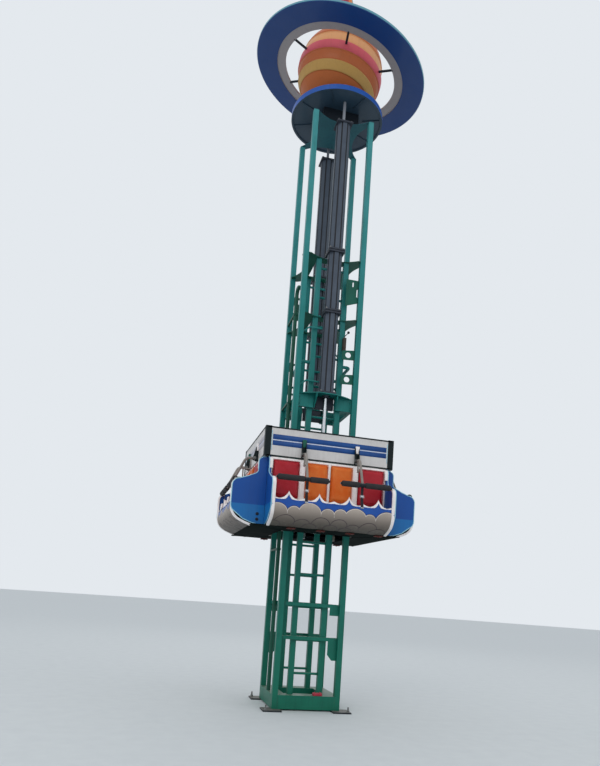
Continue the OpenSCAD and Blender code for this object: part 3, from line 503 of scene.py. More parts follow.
# Crown
# A ply and steel disc with a blue gelcoat rim, a banded ball of glass fibre and a flat ring of
# sign board on six struts. A small toy rocket stands on top.
def tilted(tree, where):
    """The place in the planet's own frame, which leans with the ring."""
    moved = add(tree, "ShaderNodeVectorMath", {0: where, 1: tuple(PLANET_AT)}, operation="SUBTRACT")
    turned_back = add(tree, "ShaderNodeVectorRotate", {"Vector": moved.outputs["Vector"],
                      "Rotation": tuple(LEAN.inverted().to_euler())}, rotation_type="EULER_XYZ")
    return turned_back.outputs["Vector"]


def ring_colours(tree, where):
    """Blue board outside, grey band inside, pale teal along the outer edge."""
    local = add(tree, "ShaderNodeSeparateXYZ", {"Vector": tilted(tree, where)})
    flat = add(tree, "ShaderNodeCombineXYZ", {"X": local.outputs["X"], "Y": local.outputs["Y"]})
    radius = add(tree, "ShaderNodeVectorMath", {0: flat.outputs["Vector"]}, operation="LENGTH")
    share = add(tree, "ShaderNodeMapRange", {"Value": radius.outputs["Value"], "From Min": RING_INNER,
                "From Max": RING_OUTER})
    middle = (RING_MID - RING_INNER) / (RING_OUTER - RING_INNER)
    return ramp(tree, share.outputs["Result"], ((0.0, "#9A9495"), (middle, "#0A3A78"),
                                                (0.990, "#5F97A6")))


PLANET_AT = Vector((0.0, 0.0, 10.190))
PLANET_R = 0.700
LEAN = Matrix.Rotation(math.radians(-24), 3, "Z") @ Matrix.Rotation(math.radians(10.9), 3, "Y")
RING_INNER, RING_MID, RING_OUTER = 0.925, 1.065, 1.416
ring_finish = coating("blue_sign_board", ring_colours, ring_colours, roughness=0.42, coat=0.15, chips=0.2,
                      runs=0.2, dirt="#1F2F55", bare="#9AA3AD")
dress(ring_finish, "planet_ring")


def disc_colours(tree, where):
    """Blue above and round the rim, blue-black paint underneath."""
    normal = add(tree, "ShaderNodeNewGeometry").outputs["Normal"]
    facing = add(tree, "ShaderNodeSeparateXYZ", {"Vector": normal})
    under = add(tree, "ShaderNodeMapRange", {"Value": facing.outputs["Z"], "From Min": -1.0, "From Max": 1.0})
    return ramp(tree, under.outputs["Result"], ((0.0, "#2C4152"), (0.47, "#1450A4")))


disc_finish = coating("blue_gelcoat_disc", disc_colours, disc_colours, roughness=0.42, coat=0.15, chips=0.2,
                      dirt="#28323E", bare="#8A8F96")
dress(disc_finish, "crown_disc")

DISC_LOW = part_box("crown_disc")[0].z
DISC_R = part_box("crown_disc")[1].x
RIB_START = 0.42
crown_ribs = bmesh.new()
for k in range(8):
    block(crown_ribs, (RIB_START, -0.003, DISC_LOW + 0.006), (DISC_R - 0.045, 0.003, DISC_LOW + 0.019), 0.001,
          place=Matrix.Rotation(math.radians(45 * k + 22.5), 4, "Z"))
under_paint = coating("blue_black_underside", "#293D4D", "#314656", roughness=0.5, bare=SCUFFED,
                      dirt="#28323E")
ribs = finish_object("crown_ribs", crown_ribs, under_paint)
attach(ribs, "tower")

BANDS = (-90, -34, -21.5, -8.5, 4, 17, 30, 43, 90)
BAND_STEP = 0.014
SEAM, SEAM_DEPTH = 1.2, 0.003
BAND_CODES = ("#B35F2B", "#BC924E", "#B96236", "#C64F5C", "#D59764", "#B85E2B", "#BC924E", "#B96236")


def band_colours(tree, where):
    """Bands round the planet's own axis, by latitude."""
    local = tilted(tree, where)
    unit = add(tree, "ShaderNodeVectorMath", {0: local}, operation="NORMALIZE")
    parts = add(tree, "ShaderNodeSeparateXYZ", {"Vector": unit.outputs["Vector"]})
    share = add(tree, "ShaderNodeMapRange", {"Value": parts.outputs["Z"], "From Min": -1.0})
    stops = [((math.sin(math.radians(low)) + 1) / 2, code) for low, code in zip(BANDS, BAND_CODES)]
    return ramp(tree, share.outputs["Result"], stops)


def cut(bm, at, away, clear=True):
    """Cut a mesh along a plane. What lies on the plane's away side goes, unless clear is off."""
    return bmesh.ops.bisect_plane(bm, geom=bm.verts[:] + bm.edges[:] + bm.faces[:], plane_co=at,
                                  plane_no=away, clear_outer=clear)["geom_cut"]


planet_finish = coating("banded_gelcoat", band_colours, band_colours, roughness=0.5, coat=0.08,
                        dirt="#7A4A2C", bare="#D8CFC4", chips=0.1, runs=0.2, dust=0.2)
PLANET_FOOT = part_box("planet")[0].z
PLANET_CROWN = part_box("planet")[1].z
profile = []
for index, (low, high) in enumerate(zip(BANDS, BANDS[1:])):
    radius = PLANET_R - ((index + 1) % 2) * BAND_STEP
    for k in range(11):
        angle = math.radians(min(max(low + (high - low) * k / 10, low + SEAM / 2), high - SEAM / 2))
        soft = SEAM_DEPTH if k in (0, 10) and 0 < index < len(BANDS) - 2 else 0.0
        profile.append(((radius - soft) * math.cos(angle), (radius - soft) * math.sin(angle)))
profile[0] = (0.0, -PLANET_R)
profile[-1] = (0.0, PLANET_R)
planet_bm = bmesh.new()
turned(planet_bm, profile, sides=144, place=Matrix.Translation(PLANET_AT) @ LEAN.to_4x4())
for height, up_or_down in ((PLANET_FOOT, -1), (PLANET_CROWN, 1)):
    rim = cut(planet_bm, (0, 0, height), (0, 0, up_or_down))
    bmesh.ops.edgeloop_fill(planet_bm, edges=[e for e in rim if isinstance(e, bmesh.types.BMEdge)])
planet = finish_object("banded_planet", planet_bm, planet_finish, smooth=30)
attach(planet, "tower")
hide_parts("planet")

# Rocket on the planet
# A moulded glass fibre toy rocket with a red nose, an orange body and four swept fins, painted by
# hand. The photograph cuts it off, so its upper half is a plain one of its kind.
ROCKET_R = 0.165
ROCKET_H = 0.770
ROCKET_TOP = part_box("rocket")[1].z
ROCKET_FOOT = ROCKET_TOP - ROCKET_H
GORES_TOP = ROCKET_FOOT + 0.53
TAIL = ROCKET_R * 0.67
BELLY = ROCKET_H * 0.34
NOSE = ROCKET_H - BELLY
OGIVE = (NOSE ** 2 + ROCKET_R ** 2) / (2 * ROCKET_R)
GORES = ((0.0, "#7A3A50"), (0.08, "#A02038"), (0.275, "#D57424"), (0.37, "#1C8A7C"), (0.461, "#3A93B4"),
         (0.55, "#E9DDC8"), (0.62, "#A02038"), (0.70, "#D57424"), (0.80, "#1C8A7C"), (0.88, "#3A93B4"),
         (0.94, "#7A3A50"))
RINGS = ((0.0, "#E8C9A0"), (0.40, "#F2F0EC"), (0.44, "#E2793A"), (0.60, "#F2F0EC"), (0.64, "#2C9A8C"),
         (0.70, "#C02C3C"))


def rocket_colours(tree, where):
    """Painted gores round the stand and the body's foot, painted rings above them."""
    parts = add(tree, "ShaderNodeSeparateXYZ", {"Vector": where})
    angle = add(tree, "ShaderNodeMath", {0: parts.outputs["Y"], 1: parts.outputs["X"]}, operation="ARCTAN2")
    round_about = add(tree, "ShaderNodeMapRange", {"Value": angle.outputs["Value"], "From Min": -math.pi,
                      "From Max": math.pi})
    gores = ramp(tree, round_about.outputs["Result"], GORES)
    rings = by_height(tree, where, PLANET_CROWN, ROCKET_TOP, RINGS, "CONSTANT")
    above = add(tree, "ShaderNodeMath", {0: parts.outputs["Z"], 1: GORES_TOP}, operation="GREATER_THAN")
    return add(tree, "ShaderNodeMix", {"Factor": above.outputs["Value"], 6: gores, 7: rings},
               data_type="RGBA").outputs[2]


rocket_finish = coating("hand_painted_gelcoat", rocket_colours, rocket_colours, roughness=0.4, coat=0.3,
                        chips=0.15, dirt="#6A4038", bare="#D8CFC4")
rocket_profile = [(0.0, PLANET_CROWN), (TAIL * 0.8, PLANET_CROWN), (TAIL * 0.62, PLANET_CROWN + 0.05),
                  (TAIL * 0.55, PLANET_CROWN + 0.12), (TAIL * 0.62, ROCKET_FOOT - 0.05), (TAIL, ROCKET_FOOT)]
for k in range(1, 13):
    swell = (ROCKET_R - TAIL) * math.sin(math.pi / 2 * k / 12)
    rocket_profile.append((TAIL + swell, ROCKET_FOOT + BELLY * k / 12))
for k in range(1, 24):
    rise = NOSE * k / 24
    rocket_profile.append((math.sqrt(OGIVE ** 2 - rise ** 2) - OGIVE + ROCKET_R, ROCKET_FOOT + BELLY + rise))
rocket_profile.append((0.0, ROCKET_TOP))
rocket_bm = bmesh.new()
turned(rocket_bm, rocket_profile, sides=48)
rocket_hull = finish_object("rocket_hull", rocket_bm, rocket_finish, smooth=35)
fin_finish = coating("teal_gelcoat_fins", "#2A8FA0", "#3C9FB0", roughness=0.32, coat=0.5, chips=0.15)
# Each point of the fin as a share of the body's radius and of the rocket's height
FIN = ((0.335, 0.01), (1.15, -0.055), (1.6, -0.1), (1.88, -0.08), (1.9, 0.01), (1.82, 0.1), (1.66, 0.18),
       (1.45, 0.25), (1.15, 0.31), (0.8, 0.34))
FIN_HALF = 0.008
fins_bm = bmesh.new()
for quarter in range(4):
    spin = Matrix.Rotation(math.radians(90 * quarter + 30), 3, "Z")
    loft(fins_bm, [[spin @ Vector((r * ROCKET_R, thick, ROCKET_FOOT + h * ROCKET_H)) for r, h in FIN]
                   for thick in (-FIN_HALF, FIN_HALF)])
fins = finish_object("rocket_fins", fins_bm, fin_finish, smooth=30)
soften = fins.modifiers.new("soft_edges", "BEVEL")
soften.width = 0.004
soften.segments = 3
for part in (rocket_hull, fins):
    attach(part, "tower")
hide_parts("rocket")


# Carriage
# Welded square tube, blue-black, out of sight behind the seats. Nylon shoes at its corners run on
# the tower's posts.
# Machined nylon is scuffed and dull, and a little light goes into it
nylon, tree, shader, where = mottled("machined_nylon", "#8A877B", "#6B6860", 0.5, 60.0, placed=False)
shader.inputs["Subsurface Weight"].default_value = 0.05
dress(dark_enamel, "carriage_rails_x", "carriage_rails_y", "carriage_uprights", "carriage_arms")
dress(nylon, "guide_shoes")

SIDES = {"front": 0, "right": 90, "rear": 180, "left": 270}


def on_each_side(name, made, replaced=None):
    """Copy an object built on the gondola's front to its other three sides."""
    made.name = name + "_front"
    copies = {"front": made}
    for side, turn in SIDES.items():
        if side != "front":
            copy = bpy.data.objects.new(f"{name}_{side}", made.data.copy())
            copy.data.transform(Matrix.Rotation(math.radians(turn), 4, "Z"))
            scene.collection.objects.link(copy)
            copies[side] = copy
    for side, one in copies.items():
        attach(one, "gondola")
        if replaced:
            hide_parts(*[node.format(side=side) for node in replaced])
    return copies


# Header box
# Flat painted steel panels round the top of the gondola, white with two blue lines of vinyl tape
# and a pale one between them, held by dark angle irons at the corners. The left side's lines are
# pale grey.
HEADER_LOW, HEADER_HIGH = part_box("header_panels")
HEADER_FACE = HEADER_HIGH.x
PANEL_HALF = HEADER_FACE - 0.024
white_enamel = coating("white_panel_enamel", "#D2CFCD", "#C6C2C0", roughness=0.4, dirt="#9A948D",
                       bare="#7C7468", chips=0.3, runs=0.2, patch_mm=180)
corner_enamel = coating("green_black_angle_iron", "#0F1B1D", "#172527", roughness=0.5, bare="#5E5A52",
                        chips=0.3, dirt="#0D1817", shine=0.2)
dress(white_enamel, "header_panels")
dress(corner_enamel, "header_corners", "bar_brackets")

LEG = 0.084
TAPE_T = 0.0012
STRIPE_HALF = HEADER_FACE + 0.004 - LEG - 0.022
BLUE_LINES, PALE_LINE = ((3.620, 3.688), (3.704, 3.776)), (3.690, 3.702)
BORDER_X, BORDER_HALF = STRIPE_HALF + 0.013, 0.0045


def vinyl_tape(name, fresh, faded, dirt):
    """Smooth vinyl tape, which fades and doesn't chip."""
    return coating(f"{name}_vinyl_tape", fresh, faded, roughness=0.38, dirt=dirt, chips=0.0, peel_mm=8)


def tape(bm, x0, x1, low, high):
    """One strip of tape on the front panel."""
    block(bm, (x0, -HEADER_FACE - TAPE_T, low), (x1, -HEADER_FACE - 0.0001, high), 0.0004)


# Tape is flatter and a little glossier than the paint beside it
blue_tape = vinyl_tape("blue", "#124486", "#1A4E90", "#15386A")
pale_tape = vinyl_tape("pale_lilac", "#D6DEF4", "#C9D2EA", "#8D97AE")
cyan_tape = vinyl_tape("pale_cyan", "#A9D6E6", "#98C6D6", "#6D94A0")
grey_tape = vinyl_tape("pale_grey", "#B4B2B8", "#C2C0C4", "#8A888C")
tape_bm, line_bm, border_bm = bmesh.new(), bmesh.new(), bmesh.new()
for bm, stripes in ((tape_bm, BLUE_LINES), (line_bm, (PALE_LINE,))):
    for low, high in stripes:
        tape(bm, -STRIPE_HALF, STRIPE_HALF, low, high)
for s in (-1, 1):
    tape(border_bm, s * BORDER_X - BORDER_HALF, s * BORDER_X + BORDER_HALF, HEADER_LOW.z + 0.08,
         HEADER_HIGH.z - 0.05)
blue_lines = on_each_side("header_tape_blue", finish_object("tape", tape_bm, blue_tape))
on_each_side("header_tape_pale", finish_object("line", line_bm, pale_tape))
on_each_side("header_tape_border", finish_object("border", border_bm, cyan_tape))
blue_lines["left"].data.materials[0] = grey_tape

# Edge channels of the header box
# Folded dark steel strips cap the panels' upper and lower edges, with dome screws along the panels.
CAP_Y = -HEADER_FACE - 0.004
SCREW_R, SCREW_INSET = 0.006, 0.035
edge_bm = bmesh.new()
block(edge_bm, (-PANEL_HALF, CAP_Y, HEADER_HIGH.z - 0.016),
      (PANEL_HALF, -PANEL_HALF - 0.002, HEADER_HIGH.z + 0.004), 0.0015)
block(edge_bm, (-PANEL_HALF, CAP_Y, HEADER_LOW.z - 0.003), (PANEL_HALF, -HEADER_FACE, HEADER_LOW.z + 0.014),
      0.0015)
on_each_side("header_edges", finish_object("edges", edge_bm, corner_enamel))
screw_bm = bmesh.new()
for k in range(7):
    for z in (HEADER_LOW.z + SCREW_INSET, HEADER_HIGH.z - SCREW_INSET):
        at = Matrix.Translation(((k / 6 * 2 - 1) * (PANEL_HALF - 0.045), -HEADER_FACE, z))
        bmesh.ops.create_uvsphere(screw_bm, u_segments=12, v_segments=6, radius=SCREW_R,
                                  matrix=at @ Matrix.Diagonal((1, 0.45, 1, 1)))
on_each_side("header_screws", finish_object("screws", screw_bm, white_enamel))

# Tray under the gondola
# Sheets of steel close the gondola from below, from the skirts' lower edges to an opening round
# the tower, with folded seams. Their near-black paint is painted shade under the gondola. Primed
# brackets carry them at the front and rear seats.
TRAY_IN, TRAY_BEND, TRAY_OUT, TRAY_Z = 0.548, 0.860, 1.050, 2.492
TRAY_LINE = ((TRAY_IN, 0.012), (TRAY_IN, 0.0), (TRAY_BEND, 0.0), (TRAY_OUT, 0.006), (TRAY_OUT, 0.014),
             (TRAY_BEND, 0.0075), (TRAY_IN + 0.003, 0.0075), (TRAY_IN + 0.003, 0.012))
tray_bm = bmesh.new()
rings = [[tray_bm.verts.new((sx * half, sy * half, TRAY_Z + rise)) for sx, sy in CORNERS]
         for half, rise in TRAY_LINE]
for one, two in zip(rings, rings[1:] + rings[:1]):
    for k in range(4):
        tray_bm.faces.new((one[k], one[(k + 1) % 4], two[(k + 1) % 4], two[k]))
SEAM_LINE = ((TRAY_IN, 0.0), (TRAY_OUT - 0.010, 0.004))
for sx, sy in CORNERS:
    seam = [(sx * half, sy * half, TRAY_Z + rise) for half, rise in SEAM_LINE]
    swept(tray_bm, seam, 0.005, sides=6)
# The sheets' thin flat paint is near black as painted shade and hardly shines, and the brackets' primer is as
# dull as brick
tray_shade_paint = coating("black_painted_shade_tray", "#0A1413", "#101B1A", roughness=0.85, bare="#2C2A26",
                     dirt="#080C0C", shine=0.03)
tray = finish_object("under_tray_painted_shade", tray_bm, tray_shade_paint, smooth=20)
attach(tray, "gondola")
red_primer = coating("red_oxide_primer", "#5E2620", "#552C27", roughness=0.7, bare="#5E5048", dirt="#3A2420")
BRACKET_IN, BRACKET_OUT, BRACKET_HALF, BRACKET_Z = 0.975, 1.058, 0.057, TRAY_Z - 0.014
SEAT = 0.415
bracket_bm = bmesh.new()
for s in (-1, 1):
    near, far = sorted((s * BRACKET_IN, s * BRACKET_OUT))
    for seat in range(4):
        x = (seat - 1.22) * SEAT
        block(bracket_bm, (x - BRACKET_HALF, near, BRACKET_Z), (x + BRACKET_HALF, far, TRAY_Z + 0.001), 0.004)
        hex_bolt(bracket_bm, (x, s * 1.018, BRACKET_Z), (0, 0, -1), across=0.018, head=0.009)
brackets = finish_object("seat_brackets", bracket_bm, red_primer, smooth=25)
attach(brackets, "gondola")


# Bench shells
# One glass fibre moulding a side, in white gelcoat: four bucket seats with ribs between them, a
# pommel in the middle of each and a scalloped front edge with a thick rounded rim.
BENCH_HALF = 2 * SEAT
LIP_Z = 2.872
PEAK = 0.082
SCALLOP = 0.024
SEAT_FLOOR = 2.700
BACK_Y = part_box("bench_front")[1].y * -1
PAD_Y = BACK_Y + 0.060
LIP_IN, LIP_OUT = 1.254, 1.300
RIBS = ((-0.382, 0.092), (0.0, 0.046), (0.382, 0.092))
RIB_T = 0.028
BACK_TOP = HEADER_LOW.z - 0.014
BACK_HEIGHTS = (3.444, 3.434, 3.426, 3.420, 3.412, 3.30, 3.20, 3.10, 3.00, 2.92, 2.906, 2.898, 2.890, 2.880,
                2.865)
RIM_R = 0.024
HEEL_R, TOE_R = 0.062, 0.060
MOUND, POMMEL = 0.10, 0.03


def smoothstep(low, high, value):
    """0 below low, 1 above high, smooth between them."""
    t = min(1.0, max(0.0, (value - low) / (high - low)))
    return t * t * (3 - 2 * t)


def from_middle(x):
    """Distance from the middle of the seat that x lies in."""
    seat = min(3, max(0, int((x + BENCH_HALF) / SEAT)))
    return abs(x - (seat - 1.5) * SEAT)


def lip_edge(x):
    """Height of the scalloped front edge."""
    t = 1 - from_middle(x) / (SEAT / 2)
    return LIP_Z - SCALLOP * math.sin(math.pi * min(1.0, t * 1.25)) + PEAK * t ** 7


def bench_section(x):
    """Closed outline of the bench at x, as (distance out, height) points."""
    away = from_middle(x)
    rib = 1 - smoothstep(-0.007, 0.003, min(abs(x - at) - wide / 2 for at, wide in RIBS))
    rib = max(rib, smoothstep(BENCH_HALF - 0.029, BENCH_HALF - 0.021, abs(x)))
    mound = smoothstep(0.150, 0.200, away)
    pommel = math.exp(-(away / 0.035) ** 2)
    edge = lip_edge(x)
    points = [(BACK_Y, BACK_TOP - 0.004), (BACK_Y + 0.004, BACK_TOP), (PAD_Y + 0.018, BACK_TOP),
              (PAD_Y + 0.026, BACK_TOP - 0.006)]
    for height in BACK_HEIGHTS:
        frame_top = smoothstep(3.412, 3.426, height)
        frame_low = 1 - smoothstep(2.890, 2.906, height)
        points.append((PAD_Y + RIB_T * max(rib, frame_top, frame_low), height))
    heel = HEEL_R - 0.03 * mound
    for k in range(9):
        angle = math.radians(180 + 90 * k / 8)
        points.append((PAD_Y + HEEL_R + heel * math.cos(angle) + RIB_T * (1 - k / 8),
                       SEAT_FLOOR + HEEL_R + heel * math.sin(angle) + MOUND * mound * (k / 8) ** 0.5))
    for k in range(1, 9):
        t = k / 9
        scoop = 0.012 * math.sin(math.pi * t) * (1 - mound)
        points.append((PAD_Y + HEEL_R + (LIP_IN - TOE_R - PAD_Y - HEEL_R) * t,
                       SEAT_FLOOR + MOUND * mound - scoop + POMMEL * pommel * t ** 2))
    for k in range(7):
        angle = math.radians(-90 + 90 * k / 6)
        raised = (MOUND * mound + POMMEL * pommel) * (1 - k / 6)
        points.append((LIP_IN - TOE_R + TOE_R * math.cos(angle),
                       SEAT_FLOOR + TOE_R + TOE_R * math.sin(angle) + raised))
    for k in range(1, 5):
        points.append((LIP_IN, SEAT_FLOOR + TOE_R + (edge - RIM_R - SEAT_FLOOR - TOE_R) * k / 5))
    middle = (LIP_IN + LIP_OUT) / 2 + 0.003
    for k in range(9):
        angle = math.radians(180 - 180 * k / 8)
        points.append((middle + (RIM_R + 0.001) * math.cos(angle), edge - RIM_R + RIM_R * math.sin(angle)))
    bottom = SEAT_FLOOR - 0.03
    points += [(middle + RIM_R, edge - 0.045), (middle + RIM_R - 0.007, edge - 0.051),
               (LIP_OUT - 0.016, edge - 0.052), (LIP_OUT - 0.018, 2.80), (LIP_OUT - 0.018, 2.72),
               (LIP_OUT - 0.05, bottom), (BACK_Y + 0.2, bottom), (BACK_Y, bottom)]
    return points


def stations(half, step):
    """Places along a side in even steps, about as long as asked for."""
    count = round(2 * half / step)
    return [-half + 2 * half * k / count for k in range(count + 1)]


white_gelcoat = coating("white_gelcoat", "#FAF3F2", "#EDE5E2", roughness=0.3, coat=0.4, dirt="#9A8D82",
                        bare="#A89E94", runs=0.35, dust=0.3, chips=0.2, patch_mm=150)
bench_bm = bmesh.new()
loft(bench_bm, [[(x, -d, z) for d, z in bench_section(x)] for x in stations(BENCH_HALF - 0.0005, 0.0083)])
on_each_side("bench_shell", finish_object("bench", bench_bm, white_gelcoat, smooth=50),
             ("bench_{side}",))


# Skirts
# A blue glass fibre skin under each bench. It meets the white rim along the scallops, bulges and
# turns in under the seats.
SKIRT_LINE = ((1.3000, 2.840), (1.3160, 2.780), (1.3180, 2.715), (1.2980, 2.650), (1.2420, 2.586),
              (1.1500, 2.538), (1.0400, 2.500))
SKIRT_T = 0.012


def curve_through(line, share):
    """A point of a smooth curve through the line's points, with share from 0 to 1."""
    span = share * (len(line) - 1)
    i = min(len(line) - 2, int(span))
    t = span - i
    p0, p1, p2, p3 = (Vector(line[min(len(line) - 1, max(0, i + k))]) for k in (-1, 0, 1, 2))
    return 0.5 * (2 * p1 + (p2 - p0) * t + (2 * p0 - 5 * p1 + 4 * p2 - p3) * t ** 2
                  + (3 * p1 - p0 - 3 * p2 + p3) * t ** 3)


FINE = [curve_through(SKIRT_LINE, k / 96) for k in range(97)]
RUN = [0.0]
for one, two in zip(FINE, FINE[1:]):
    RUN.append(RUN[-1] + (two - one).length)


def skirt_point(along, proud=0.0):
    """Point and outward lift of the skirt's face at a distance down its curve."""
    along = min(RUN[-1], max(0.0, along))
    i = max(k for k in range(len(RUN)) if RUN[k] <= along + 1e-9)
    i = min(i, len(FINE) - 2)
    t = (along - RUN[i]) / (RUN[i + 1] - RUN[i])
    ahead = (FINE[min(i + 2, len(FINE) - 1)] - FINE[max(i - 1, 0)]).normalized()
    return FINE[i].lerp(FINE[i + 1], t) + proud * Vector((-ahead.y, ahead.x))


def skirt_section(x):
    """Closed outline of the skirt at x."""
    top = lip_edge(x) - 0.046
    outer = [Vector((LIP_OUT - 0.002, 2.840 + (top - 2.840) * k / 4)) for k in range(4, 0, -1)]
    outer += [skirt_point(RUN[-1] * k / 30) for k in range(31)]
    inner = []
    for k, point in enumerate(outer):
        ahead = outer[min(k + 1, len(outer) - 1)] - outer[max(k - 1, 0)]
        inner.append(point + SKIRT_T * Vector((ahead.y, -ahead.x)).normalized())
    return outer + inner[::-1]


def skirt_colours_shaded_back(outside, inside):
    """A colour function: gelcoat on the face that looks away from the tower, and bare resin behind, painted
    near black as painted shade.
    """
    def colours(tree, where):
        flat = add(tree, "ShaderNodeVectorMath", {0: where, 1: (1.0, 1.0, 0.0)}, operation="MULTIPLY")
        normal = add(tree, "ShaderNodeNewGeometry").outputs["Normal"]
        away = add(tree, "ShaderNodeVectorMath", {0: flat.outputs["Vector"], 1: normal},
                   operation="DOT_PRODUCT")
        outer = add(tree, "ShaderNodeMath", {0: away.outputs["Value"], 1: 0.0}, operation="GREATER_THAN")
        return add(tree, "ShaderNodeMix", {"Factor": outer.outputs["Value"], 6: linear(inside),
                   7: linear(outside)}, data_type="RGBA").outputs[2]
    return colours


# The skin's back, which faces the tower, is painted near black as painted shade inside the gondola
blue_gelcoat = coating("blue_gelcoat", skirt_colours_shaded_back("#08489C", "#161B20"),
                       skirt_colours_shaded_back("#104FA2", "#1E2429"), roughness=0.32, coat=0.1, dirt="#1E3562",
                       bare="#A9B2C0", runs=0.25, chips=0.25, patch_mm=200)
skirt_bm = bmesh.new()
loft(skirt_bm, [[(x, -p.x, p.y) for p in skirt_section(x)] for x in stations(BENCH_HALF - 0.0005, 0.0104)])
skirts = on_each_side("skirt_skin", finish_object("skirt", skirt_bm, blue_gelcoat, smooth=60))
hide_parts("skirts")

# Painted clouds on the skirts
# Plain puffs of grey-white paint with a dark outline, brushed on over the blue. The top row has a
# pale rim along its upper edge. Each is a disc of paint on the skirt's curve, over the ones before.
def cloud_colours_shaded_below(tree, where):
    """Grey-white above, darker and browner where the skirt turns under, as painted shade."""
    return by_height(tree, where, 2.50, 2.80, ((0.0, "#4E4842"), (0.35, "#7A7068"), (1.0, "#B2A69C")))


# The cloud paint darkens where the skirt turns under, as painted shade
cloud_paint = coating("cloud_paint", cloud_colours_shaded_below, cloud_colours_shaded_below, roughness=0.5, dirt="#8A7F74", runs=0.35,
                      chips=0.1, dust=0.3, patch_mm=140)
rim_paint = coating("white_rim_paint", "#D8CEC8", "#C9BFB8", roughness=0.5, dirt="#8A7F74", runs=0.3,
                    chips=0.0)
outline_paint = coating("outline_paint", "#43393D", "#554A50", roughness=0.5, dirt="#3A3638", chips=0.0)
PAINT_STEP, SHEET_STEP = 0.0005, 0.012
OUTLINE, RIM_LINE = 0.0075, 0.007
CLOUD_HALF = BENCH_HALF - 0.020
CLOUD_LOW = RUN[-1] - 0.012


def painted(bm, outline, level):
    """Lay a flat outline of (x, distance down) on the skirt as a thin layer at a level."""
    sheet = bmesh.new()
    sheet.faces.new([sheet.verts.new((x, v, 0)) for x, v in outline])
    for place, away in (((-CLOUD_HALF, 0, 0), (-1, 0, 0)), ((CLOUD_HALF, 0, 0), (1, 0, 0)),
                        ((0, CLOUD_LOW, 0), (0, 1, 0)), ((0, 0.004, 0), (0, -1, 0))):
        cut(sheet, place, away)
    for k in range(1, math.ceil(CLOUD_LOW / SHEET_STEP)):
        cut(sheet, (0, k * SHEET_STEP, 0), (0, 1, 0), clear=False)
    rim = [e for e in sheet.edges if e.is_boundary]
    skirting = bmesh.ops.extrude_edge_only(sheet, edges=rim)
    dropped = {v for v in skirting["geom"] if isinstance(v, bmesh.types.BMVert)}
    made = {}
    for vert in sheet.verts:
        proud = 0.0001 if vert in dropped else PAINT_STEP * level
        point = skirt_point(vert.co.y, proud)
        made[vert] = bm.verts.new((vert.co.x, -point.x, point.y))
    for face in sheet.faces:
        bm.faces.new([made[vert] for vert in face.verts])
    sheet.free()


def puff(x, v, r, wobble):
    """A hand-drawn round outline."""
    return [(x + r * (1 + 0.02 * math.sin(3 * a + wobble)) * math.cos(a),
             v + r * 0.94 * (1 + 0.02 * math.sin(2 * a + wobble)) * math.sin(a))
            for a in (2 * math.pi * k / 56 for k in range(56))]


brush = random.Random(11)
fill_bm, rim_bm, outline_bm = bmesh.new(), bmesh.new(), bmesh.new()
PUFFS = ((-0.770, 0.197, 0.150), (-0.545, 0.177, 0.098), (-0.330, 0.187, 0.172), (-0.085, 0.178, 0.104),
         (0.090, 0.160, 0.098), (0.300, 0.197, 0.166), (0.505, 0.187, 0.094), (0.745, 0.205, 0.168),
         (-0.640, 0.345, 0.140), (-0.400, 0.365, 0.110), (-0.150, 0.330, 0.130), (0.100, 0.320, 0.118),
         (0.310, 0.375, 0.104), (0.520, 0.345, 0.130),
         (-0.785, 0.425, 0.100), (-0.280, 0.435, 0.100), (0.010, 0.425, 0.104), (0.225, 0.445, 0.090),
         (0.680, 0.435, 0.120))
TOP_ROW = 8
BASE_V, BASE_LEVEL = 0.192, 2.9
for k, (x, v, r) in enumerate(PUFFS):
    wobble = brush.uniform(0, 6)
    if k < TOP_ROW:
        painted(outline_bm, puff(x, v, r, wobble), 1.0 + 0.1 * k)
        painted(rim_bm, puff(x, v, r - OUTLINE, wobble), 2.0 + 0.1 * k)
        painted(fill_bm, puff(x, v + 0.002, r - OUTLINE - RIM_LINE, wobble), 3.0 + 0.1 * k)
    else:
        painted(outline_bm, puff(x, v, r, wobble), 0.55 * k)
        painted(fill_bm, puff(x, v + 0.002, r - OUTLINE, wobble), 0.55 * k + 0.36)
painted(fill_bm, ((-BENCH_HALF, BASE_V), (BENCH_HALF, BASE_V), (BENCH_HALF, RUN[-1]),
                  (-BENCH_HALF, RUN[-1])), BASE_LEVEL)
on_each_side("cloud_rim", finish_object("rim", rim_bm, rim_paint, smooth=60))
on_each_side("cloud_paint", finish_object("cloud", fill_bm, cloud_paint, smooth=60))
on_each_side("cloud_outline", finish_object("outline", outline_bm, outline_paint, smooth=60))


# Cheeks
# Flat blue glass fibre panels that close the benches' ends, a darker blue above and a lighter one
# below, with a pale painted bead round the edge. One cheek of each bench has two bolts low down.
CHEEK_LOW, CHEEK_WAIST, CHEEK_HIGH = 2.40, 2.78, 3.50


def cheek_colours(tree, where):
    """Dark blue above the waist, lighter blue below it."""
    waist = (CHEEK_WAIST - CHEEK_LOW) / (CHEEK_HIGH - CHEEK_LOW)
    return by_height(tree, where, CHEEK_LOW, CHEEK_HIGH, ((0.0, "#0F6CAE"), (waist, "#034A98")), "CONSTANT")


cheek_finish = coating("two_tone_blue_gelcoat", cheek_colours, cheek_colours, roughness=0.34, coat=0.1,
                       dirt="#183A6E", bare="#A9B2C0", runs=0.2, chips=0.2, edge_mm=5)
dress(cheek_finish, "cheeks_x", "cheeks_y")


def arc(cx, cz, r, a0, a1, n):
    """Points along an arc, angles in degrees."""
    return [(cx + r * math.cos(math.radians(a0 + (a1 - a0) * k / n)),
             cz + r * math.sin(math.radians(a0 + (a1 - a0) * k / n))) for k in range(n + 1)]


